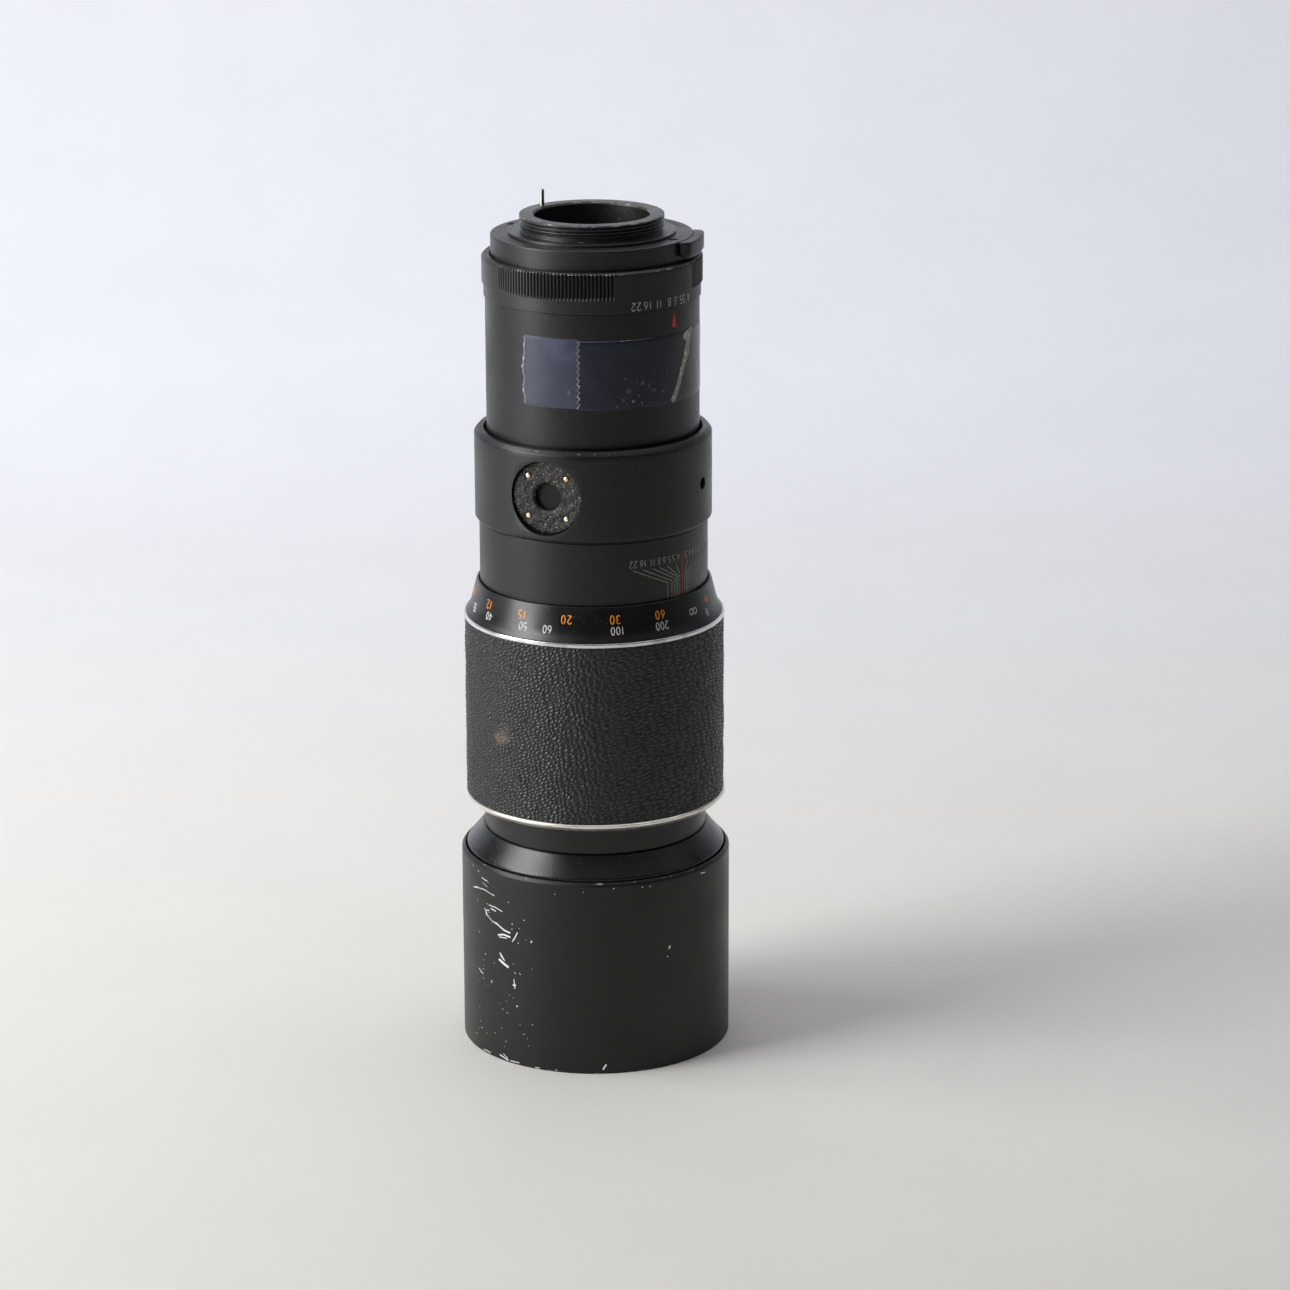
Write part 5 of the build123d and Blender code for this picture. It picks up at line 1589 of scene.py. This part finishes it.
    def make_switch(self):
        """The thumb lug is a profile carried along an arc of bearings, drawn in towards both ends
        so that they are round."""
        columns = 60
        inner, outer = drum_radius + 0.15, drum_radius + 3.0
        low, high = drum_top - 5.2, drum_top - 0.1
        line = rounded([
            (inner, low + 1.0, 0.1), (outer - 1.0, low, 0.4), (outer, low + 1.0, 0.4),
            (outer, high, 0.5), (inner, high, 0.2),
        ])
        start, size = 57.0, 40.0
        share = np.linspace(0, 1, columns)[None, :]
        bearing = start + size * share
        from_end = np.minimum(share, 1 - share) * math.radians(size) * outer
        shrink = np.sqrt(np.clip(1 - np.clip(1 - from_end / 2.6, 0, 1) ** 2, 0.03, 1))
        radius = inner + (line[:, :1] - inner) * shrink
        height = high - 0.4 + (line[:, 1:] - high + 0.4) * (0.72 + 0.28 * shrink)
        points = bearing_point(bearing, radius, height)
        rows = len(line)
        faces = grid_faces(rows, columns, True, False)
        flat = points.reshape(-1, 3)
        index = np.arange(rows * columns).reshape(rows, columns)
        parts = []
        for column in (0, columns - 1):
            hub = flat[index[:, column]].mean(0, keepdims=True)
            flat = np.concatenate([flat, hub])
            ring = index[:, column]
            fan = np.stack([ring, np.roll(ring, -1), np.full(rows, len(flat) - 1)], -1)
            parts.append(fan if column else fan[:, ::-1])
        whole = signed_volume(flat, faces)
        if whole < 0:
            faces = faces[:, ::-1]
            parts = [fan[:, ::-1] for fan in parts]
        foot_parts = arc_block(
            drum_radius - 2.6, drum_radius + 0.5, drum_top - 4.4, drum_top - 2.2, 67.0, 20.0
        )
        lug = piece(
            "mode_switch_lug", [(flat, faces), (None, parts[0]), (None, parts[1])] + foot_parts,
            "ring", "mode_switch", 44,
        )
        outward(lug, 44)
        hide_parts("mode_switch")

    def make_spring(self):
        """The pin's spring is a round wire carried along a helix: each ring of the wire lies in the
        plane across the helix's own direction there."""
        low, high = foot("stop_down_spring"), top("stop_down_spring")
        x, y = spot(pin_bearing, pin_circle)
        wire, coil, turns, count = 0.16, 0.85, 5.8, 240
        turn = np.linspace(0, 2 * np.pi * turns, count)
        climb = (high - low - 2 * wire) / turn[-1]
        middle = np.stack([coil * np.cos(turn), coil * np.sin(turn), low + wire + climb * turn], -1)
        along = np.stack([-coil * np.sin(turn), coil * np.cos(turn), np.full(count, climb)], -1)
        along = along / np.linalg.norm(along, axis=1)[:, None]
        outward = np.stack([np.cos(turn), np.sin(turn), np.zeros(count)], -1)
        across = np.cross(along, outward)
        ring = np.linspace(0, 2 * np.pi, 8, endpoint=False)[None, :, None]
        tube = middle[:, None] + wire * (
            np.cos(ring) * outward[:, None] + np.sin(ring) * across[:, None]
        )
        points = tube.reshape(-1, 3) + [x, y, 0]
        faces = grid_faces(count, 8, False, True)
        last = (count - 1) * 8
        ends = np.array([np.arange(8)[::-1], last + np.arange(8)])
        if signed_volume(points, faces) < 0:
            faces, ends = faces[:, ::-1], ends[:, ::-1]
        spring = piece(
            "stop_pin_spring", [(points, faces), (None, ends)], "steel", "main_barrel",
        )
        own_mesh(spring)
        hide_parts("stop_down_spring")

    def make_pin(self):
        """The stop-down pin is a thin rod with a round end and a collar inside the mount."""
        low = foot("stop_down_pin")
        high = top("stop_down_pin")
        share = np.linspace(0, np.pi / 2, 6)
        tip = np.stack([0.65 * np.cos(share), high - 0.5 + 0.5 * np.sin(share)], -1)
        line = np.concatenate([
            [[0, low], [1.1, low], [1.15, low + 0.08], [1.15, low + 0.55], [0.65, low + 0.6]],
            tip[:-1], [[0, high]],
        ])
        x, y = spot(pin_bearing, pin_circle)
        parts = shifted(turned_solid(line, 28), x, y)
        pin = piece("aperture_stop_pin", parts, "steel", "stop_down_pin")
        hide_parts("stop_down_pin")


# ---------------------------------------------------------------- engraved figures
def arc(x, y, across, up, start, end, count=16):
    """Points of an ellipse about a centre, from one angle to another in degrees."""
    turn = np.radians(np.linspace(start, end, count))
    return np.stack([x + across * np.cos(turn), y + up * np.sin(turn)], -1)


def bar(*ends):
    """Straight strokes through the given points."""
    return np.array(ends, float)


def loop(x, y, across, up, count=28):
    """A whole ellipse, without its last point, for a closed stroke."""
    return arc(x, y, across, up, 0, 360, count + 1)[:-1]


# each figure's width, its open strokes and its closed strokes, for a height of one
FIGURES = {
    "0": (0.62, [], [loop(0.31, 0.5, 0.27, 0.5)]),
    "1": (0.34, [bar((0.17, 0), (0.17, 1))], []),
    "2": (0.62, [np.concatenate([arc(0.3, 0.71, 0.27, 0.29, 165, -25), bar((0.05, 0.02))]),
                 bar((0.05, 0.0), (0.58, 0.0))], []),
    "3": (0.6, [arc(0.29, 0.755, 0.24, 0.245, 150, -90), arc(0.29, 0.265, 0.27, 0.265, 90, -150)], []),
    "4": (0.64, [bar((0.46, 0), (0.46, 1)), bar((0.46, 1), (0.02, 0.28)),
                 bar((0.02, 0.28), (0.62, 0.28))], []),
    "5": (0.6, [bar((0.53, 1), (0.13, 1)), bar((0.13, 1), (0.08, 0.55)),
                arc(0.29, 0.31, 0.28, 0.31, 140, -150)], []),
    "6": (0.62, [bar((0.42, 1.0), (0.07, 0.42))], [loop(0.31, 0.29, 0.27, 0.29)]),
    "7": (0.58, [bar((0.03, 1), (0.55, 1)), bar((0.55, 1), (0.2, 0))], []),
    "8": (0.62, [], [loop(0.31, 0.76, 0.215, 0.24), loop(0.31, 0.265, 0.27, 0.265)]),
    "9": (0.62, [bar((0.2, 0.0), (0.55, 0.58))], [loop(0.31, 0.71, 0.27, 0.29)]),
    ".": (0.2, [bar((0.1, 0.02), (0.1, 0.1))], []),
    "m": (0.95, [bar((0.08, 0), (0.08, 0.68)), bar((0.47, 0), (0.47, 0.5)),
                 bar((0.86, 0), (0.86, 0.5)), arc(0.275, 0.47, 0.195, 0.2, 180, 0),
                 arc(0.665, 0.47, 0.195, 0.2, 180, 0)], []),
    "f": (0.45, [np.concatenate([bar((0.17, 0), (0.17, 0.7)), arc(0.37, 0.75, 0.2, 0.25, 170, 80)]),
                 bar((0.02, 0.62), (0.38, 0.62))], []),
    "t": (0.45, [bar((0.17, 1), (0.17, 0.1)), bar((0.02, 0.68), (0.38, 0.68)),
                 arc(0.32, 0.16, 0.15, 0.16, 180, 280)], []),
    "8-lying": (1.2, [], [loop(0.3, 0.4, 0.27, 0.27), loop(0.88, 0.4, 0.27, 0.27)]),
    " ": (0.35, [], []),
}


def figure_bars(text, bearing, height, size, stroke, radius_at, spacing=0.16, narrow=1.0):
    """The strokes of a text, upside down because the figures are read with the mount at the back,
    centred on a bearing and a height."""
    letters = ["8-lying"] if text == "infinity" else list(text)
    widths = [FIGURES[letter][0] for letter in letters]
    total = sum(widths) + spacing * (len(letters) - 1)
    middle = radius_at(np.array(height))
    centre = np.array([math.radians(bearing) * middle, height])
    bars, pen = [], -total / 2
    for letter, width in zip(letters, widths):
        for closed, lines in enumerate(FIGURES[letter][1:]):
            for line in lines:
                place = (line + [pen, -0.5]) * [narrow * size, size]
                if not closed and len(place) == 2:
                    place = np.linspace(place[0], place[1], 6)
                bars.append(ribbon(centre - place, stroke, radius_at, 0.018, bool(closed)))
        pen += width + spacing
    return bars


class LENS_OT_figures(bpy.types.Operator):
    """Engraves the aperture, depth-of-field and distance figures and the index marks"""

    bl_idname = "lens.make_figures"
    bl_label = "Figures and Index Marks"

    def execute(self, context):
        stroke = settings().stroke / MM

        on_skirt, on_scale = straight(skirt_radius), straight(scale_radius)
        slope = scale_slope()

        def cone_radius(z):
            return np.interp(z, slope[:, 1], slope[:, 0])

        stops = [("22", 23.3), ("16", 30.0), ("11", 37.0), ("8", 44.2), ("5.6", 51.2),
                 ("4.5", 58.5)]
        bars = []
        for text, bearing in stops:
            bars += figure_bars(text, bearing, aperture_low + 1.8, 2.3, 0.25, on_skirt, 0.26, 0.85)
        piece("aperture_figures", bars, "pale paint", "aperture_ring")

        fields = [("22", 19.8, 39.5, 146.8), ("16", 24.9, 42.2, 147.1), ("11", 30.2, 43.9, 147.6),
                  ("8", 34.2, 45.2, 148.2), ("5.6", 38.9, 46.4, 148.3), ("4.5", 45.1, 47.8, 148.4)]
        bars = []
        figure_height = 153.7
        for text, bearing, lead, knee in fields:
            for side in (1, -1):
                at = line_bearing + side * (bearing - line_bearing)
                down = line_bearing + side * (lead - line_bearing)
                bars += figure_bars(text, at, figure_height, 2.0, 0.22, on_scale, 0.24, 0.78)
                start = np.radians([at, down]) * scale_radius
                slant = np.linspace([start[0], 151.9], [start[1], knee], 10)
                fall = np.linspace([start[1], knee], [start[1], cone_top - 1.0], 8)
                bars.append(ribbon(slant, 0.22, on_scale, 0.016))
                bars.append(ribbon(fall, 0.22, on_scale, 0.016))
        piece("depth_of_field_figures", bars, "grey paint", "main_barrel")

        around = math.radians(line_bearing) * scale_radius
        red = [ribbon(np.linspace([around, cone_top - 1.0], [around, 154.6], 10), 0.3, on_scale,
                      0.018)]
        index = math.radians(index_bearing) * barrel_radius
        widths = np.linspace(0.0, 0.98, 9)
        tip = np.linspace(barrel_top - 1.15, barrel_top - 5.7, 9)
        upper = np.stack([
            bearing_point(np.degrees((index + side * widths) / barrel_radius),
                          barrel_radius + 0.02, tip) for side in (-1, 1)
        ])
        lower = np.stack([
            bearing_point(np.degrees((index + side * widths) / barrel_radius),
                          barrel_radius - 0.02, tip) for side in (-1, 1)
        ])
        red += slab(upper, lower)
        piece("red_index_marks", red, "red paint", "main_barrel", 60)

        metres = [12, 15, 20, 30, 60, 10, 9, 8, 7, 6, 5]
        feet = [35, 40, 50, 60, 100, 200, 30, 25, 22, 20, 18]
        orange, white = [], []
        for number in metres:
            orange += figure_bars(str(number), self.mark_bearing(number * 1000.0), 138.3, 2.3,
                                  stroke, cone_radius, 0.3, 0.86)
        orange += figure_bars("m", 67.0, 138.2, 2.2, stroke, cone_radius, 0.2, 0.8)
        for number in feet:
            shift = -2.5 if number == 60 else 0.0
            white += figure_bars(str(number), self.mark_bearing(number * 304.8) + shift, 135.2, 2.1,
                                 0.25, cone_radius, 0.24, 0.86)
        white += figure_bars("infinity", 53.2, 136.6, 3.0, 0.28, cone_radius)
        white += figure_bars("ft", 65.0, 134.9, 2.2, 0.27, cone_radius, 0.1, 0.9)
        piece("metre_figures", orange, "orange paint", "focus_ring")
        piece("foot_figures", white, "white paint", "focus_ring")
        return {"FINISHED"}

    @staticmethod
    def mark_bearing(distance):
        """Where a distance stands on the ring: the lens moves out by the focal length squared over
        the rest of the distance, and the ring turns 14.84 degrees for each millimetre of that."""
        focal_length = 300.0
        return 54.8 - 14.84 * focal_length**2 / (distance - focal_length)


# ---------------------------------------------------------------- finishes of the kept nodes
class LENS_OT_kept_nodes(bpy.types.Operator):
    """Gives every inner part that keeps its own shape its real finish"""

    bl_idname = "lens.finish_kept_nodes"
    bl_label = "Inner Parts"

    def execute(self, context):
        by_finish = {
            "brass": ["focus_sleeve", "collar_friction_shoe", "guide_keys", "aperture_link_pin"],
            "steel": ["click_ball", "click_spring", "iris_pivot_pins", "focus_stop_screw",
                      "stop_down_spring"],
            "dark steel": ["collar_grub_screw", "focus_set_screws"]
            + [f"iris_blade_{number}" for number in range(1, 7)],
        }
        chosen = {node: name for name, nodes in by_finish.items() for node in nodes}
        for node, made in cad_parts.items():
            if made.hide_render:
                continue
            material = finish(chosen.get(node, "inside"))
            made.data.materials.clear()
            made.data.materials.append(material)
        return {"FINISHED"}


# ---------------------------------------------------------------- stage
class LENS_OT_stage(bpy.types.Operator):
    """Makes the paper sweep, the soft lights and the camera"""

    bl_idname = "lens.make_stage"
    bl_label = "Stage, Lights and Camera"

    def execute(self, context):
        chosen = settings()
        share = np.linspace(0, 1, 25)
        curve = 0.6
        bend = np.stack([0.55 + curve * np.sin(share * np.pi / 2),
                         curve - curve * np.cos(share * np.pi / 2)], -1)
        line = np.concatenate([[[-4.0, 0.0], [-0.5, 0.0], [0.0, 0.0]], bend, [[0.55 + curve, 3.0]]])
        across = np.linspace(-4, 4, 9)
        points = np.zeros((len(line), 9, 3))
        points[..., 0] = across[None, :]
        points[..., 1] = line[:, :1]
        points[..., 2] = line[:, 1:]
        faces = grid_faces(len(line), 9, False, False)
        mesh = bpy.data.meshes.new("paper_sweep")
        mesh.from_pydata(points.reshape(-1, 3).tolist(), [], faces.tolist())
        mesh.polygons.foreach_set("use_smooth", np.ones(len(mesh.polygons), bool))
        mesh.update()
        sweep = bpy.data.objects.new("paper_sweep", mesh)
        mesh.materials.append(seamless_paper(chosen.floor_colour, chosen.wall_colour))
        context.scene.collection.objects.link(sweep)
        self.light("key_panel", (-1.07, -0.4, 0.62), (0.0, 0.0, 0.12), 0.58, 1.15,
                   chosen.key_strength, (0.985, 0.985, 1.0))
        self.light("side_strip", (-0.97, 0.13, 1.0), (0.0, 0.0, 0.08), 0.36, 0.42,
                   chosen.key_strength * 0.2, (0.985, 0.99, 1.0))
        self.light("top_panel", (0.15, 0.35, 1.7), (0.0, 0.2, 0.0), 1.6, 1.6,
                   chosen.top_strength, (0.96, 0.98, 1.0))
        self.make_world(context)
        self.make_camera(context)
        return {"FINISHED"}

    @staticmethod
    def light(name, place, target, width, height, power, colour):
        """A rectangular soft light that faces a point."""
        data = bpy.data.lights.new(name, "AREA")
        data.shape = "RECTANGLE"
        data.size = width
        data.size_y = height
        data.energy = power
        data.color = colour
        lamp = bpy.data.objects.new(name, data)
        aim = np.array(target) - np.array(place)
        aim = aim / np.linalg.norm(aim)
        side = np.cross(aim, [0, 0, 1])
        side = side / np.linalg.norm(side)
        rise = np.cross(side, aim)
        turn = Matrix(np.stack([side, rise, -aim], 1).tolist()).to_4x4()
        lamp.matrix_world = Matrix.Translation(place) @ turn
        bpy.context.scene.collection.objects.link(lamp)

    @staticmethod
    def make_world(context):
        """Soft room light that is brighter from above and behind than from the front and below;
        what the camera sees past the paper is plain and pale."""
        world = bpy.data.worlds.new("room")
        world.use_nodes = True
        tree = world.node_tree
        tree.nodes.clear()
        way = add(tree, "TexCoord").outputs["Generated"]
        parts = add(tree, "SeparateXYZ", {"Vector": way})
        rise = add(
            tree, "MapRange",
            {"Value": parts.outputs["Z"], "From Min": -0.1, "From Max": 0.9,
             "To Min": 0.04, "To Max": 0.68},
        )
        depth = add(
            tree, "MapRange",
            {"Value": parts.outputs["Y"], "From Min": -0.6, "From Max": 0.6,
             "To Min": 0.2, "To Max": 1.0},
        )
        glow = add(tree, "Math", {0: rise, 1: depth}, operation="MULTIPLY")
        room = add(tree, "Background", {"Color": (*linear("#f2f4f9"), 1), "Strength": glow})
        plain = add(tree, "Background", {"Color": (*linear("#e4e4e7"), 1), "Strength": 1.0})
        seen = add(tree, "LightPath").outputs["Is Camera Ray"]
        both = add(tree, "MixShader", {"Fac": seen, 1: room, 2: plain})
        add(tree, "OutputWorld", {"Surface": both})
        context.scene.world = world

    @staticmethod
    def make_camera(context):
        """A long lens a little over a metre away, looking slightly down at the lens."""
        data = bpy.data.cameras.new("camera")
        data.sensor_width = 36.0
        data.lens = 121.59
        data.clip_start = 0.05
        data.clip_end = 20
        camera = bpy.data.objects.new("camera", data)
        yaw, pitch, roll = math.radians(0.694), math.radians(16.466), math.radians(-0.157)
        ahead = np.array([math.sin(yaw) * math.cos(pitch), math.cos(yaw) * math.cos(pitch),
                          -math.sin(pitch)])
        side = np.array([math.cos(yaw), -math.sin(yaw), 0])
        rise = np.cross(side, ahead)
        across = math.cos(roll) * side + math.sin(roll) * rise
        up = math.cos(roll) * rise - math.sin(roll) * side
        turn = Matrix(np.stack([across, up, -ahead], 1).tolist()).to_4x4()
        camera.matrix_world = Matrix.Translation((0, -1.23988, 0.48686)) @ turn
        context.scene.collection.objects.link(camera)
        context.scene.camera = camera
        context.scene.view_settings.view_transform = "Standard"


# ---------------------------------------------------------------- panel and registering
MAKERS = (
    LENS_OT_stage, LENS_OT_hood, LENS_OT_front_barrel, LENS_OT_glass, LENS_OT_focus_ring,
    LENS_OT_leather, LENS_OT_scale_barrel, LENS_OT_tripod_collar, LENS_OT_rear_barrel,
    LENS_OT_aperture_ring, LENS_OT_rear_housing, LENS_OT_figures, LENS_OT_kept_nodes,
)


class LENS_PT_makers(bpy.types.Panel):
    """Lists the settings and the makers of the lens's pieces"""

    bl_idname = "LENS_PT_makers"
    bl_label = "Telephoto Lens"
    bl_space_type = "VIEW_3D"
    bl_region_type = "UI"
    bl_category = "Lens"

    def draw(self, context):
        chosen = context.scene.lens_settings
        for name in ("grain_height", "grain_size", "knurl_depth", "stroke", "columns",
                     "floor_colour", "wall_colour", "key_strength", "top_strength"):
            self.layout.prop(chosen, name)
        for maker in MAKERS:
            self.layout.operator(maker.bl_idname)


CLASSES = (LENS_PG_settings, *MAKERS, LENS_PT_makers)


def register():
    for one in CLASSES:
        bpy.utils.register_class(one)
    bpy.types.Scene.lens_settings = PointerProperty(type=LENS_PG_settings)


def unregister():
    del bpy.types.Scene.lens_settings
    for one in reversed(CLASSES):
        bpy.utils.unregister_class(one)


def main():
    """Makes every piece in order."""
    register()
    for maker in MAKERS:
        group, name = maker.bl_idname.split(".")
        getattr(getattr(bpy.ops, group), name)()


if __name__ == "__main__":
    main()
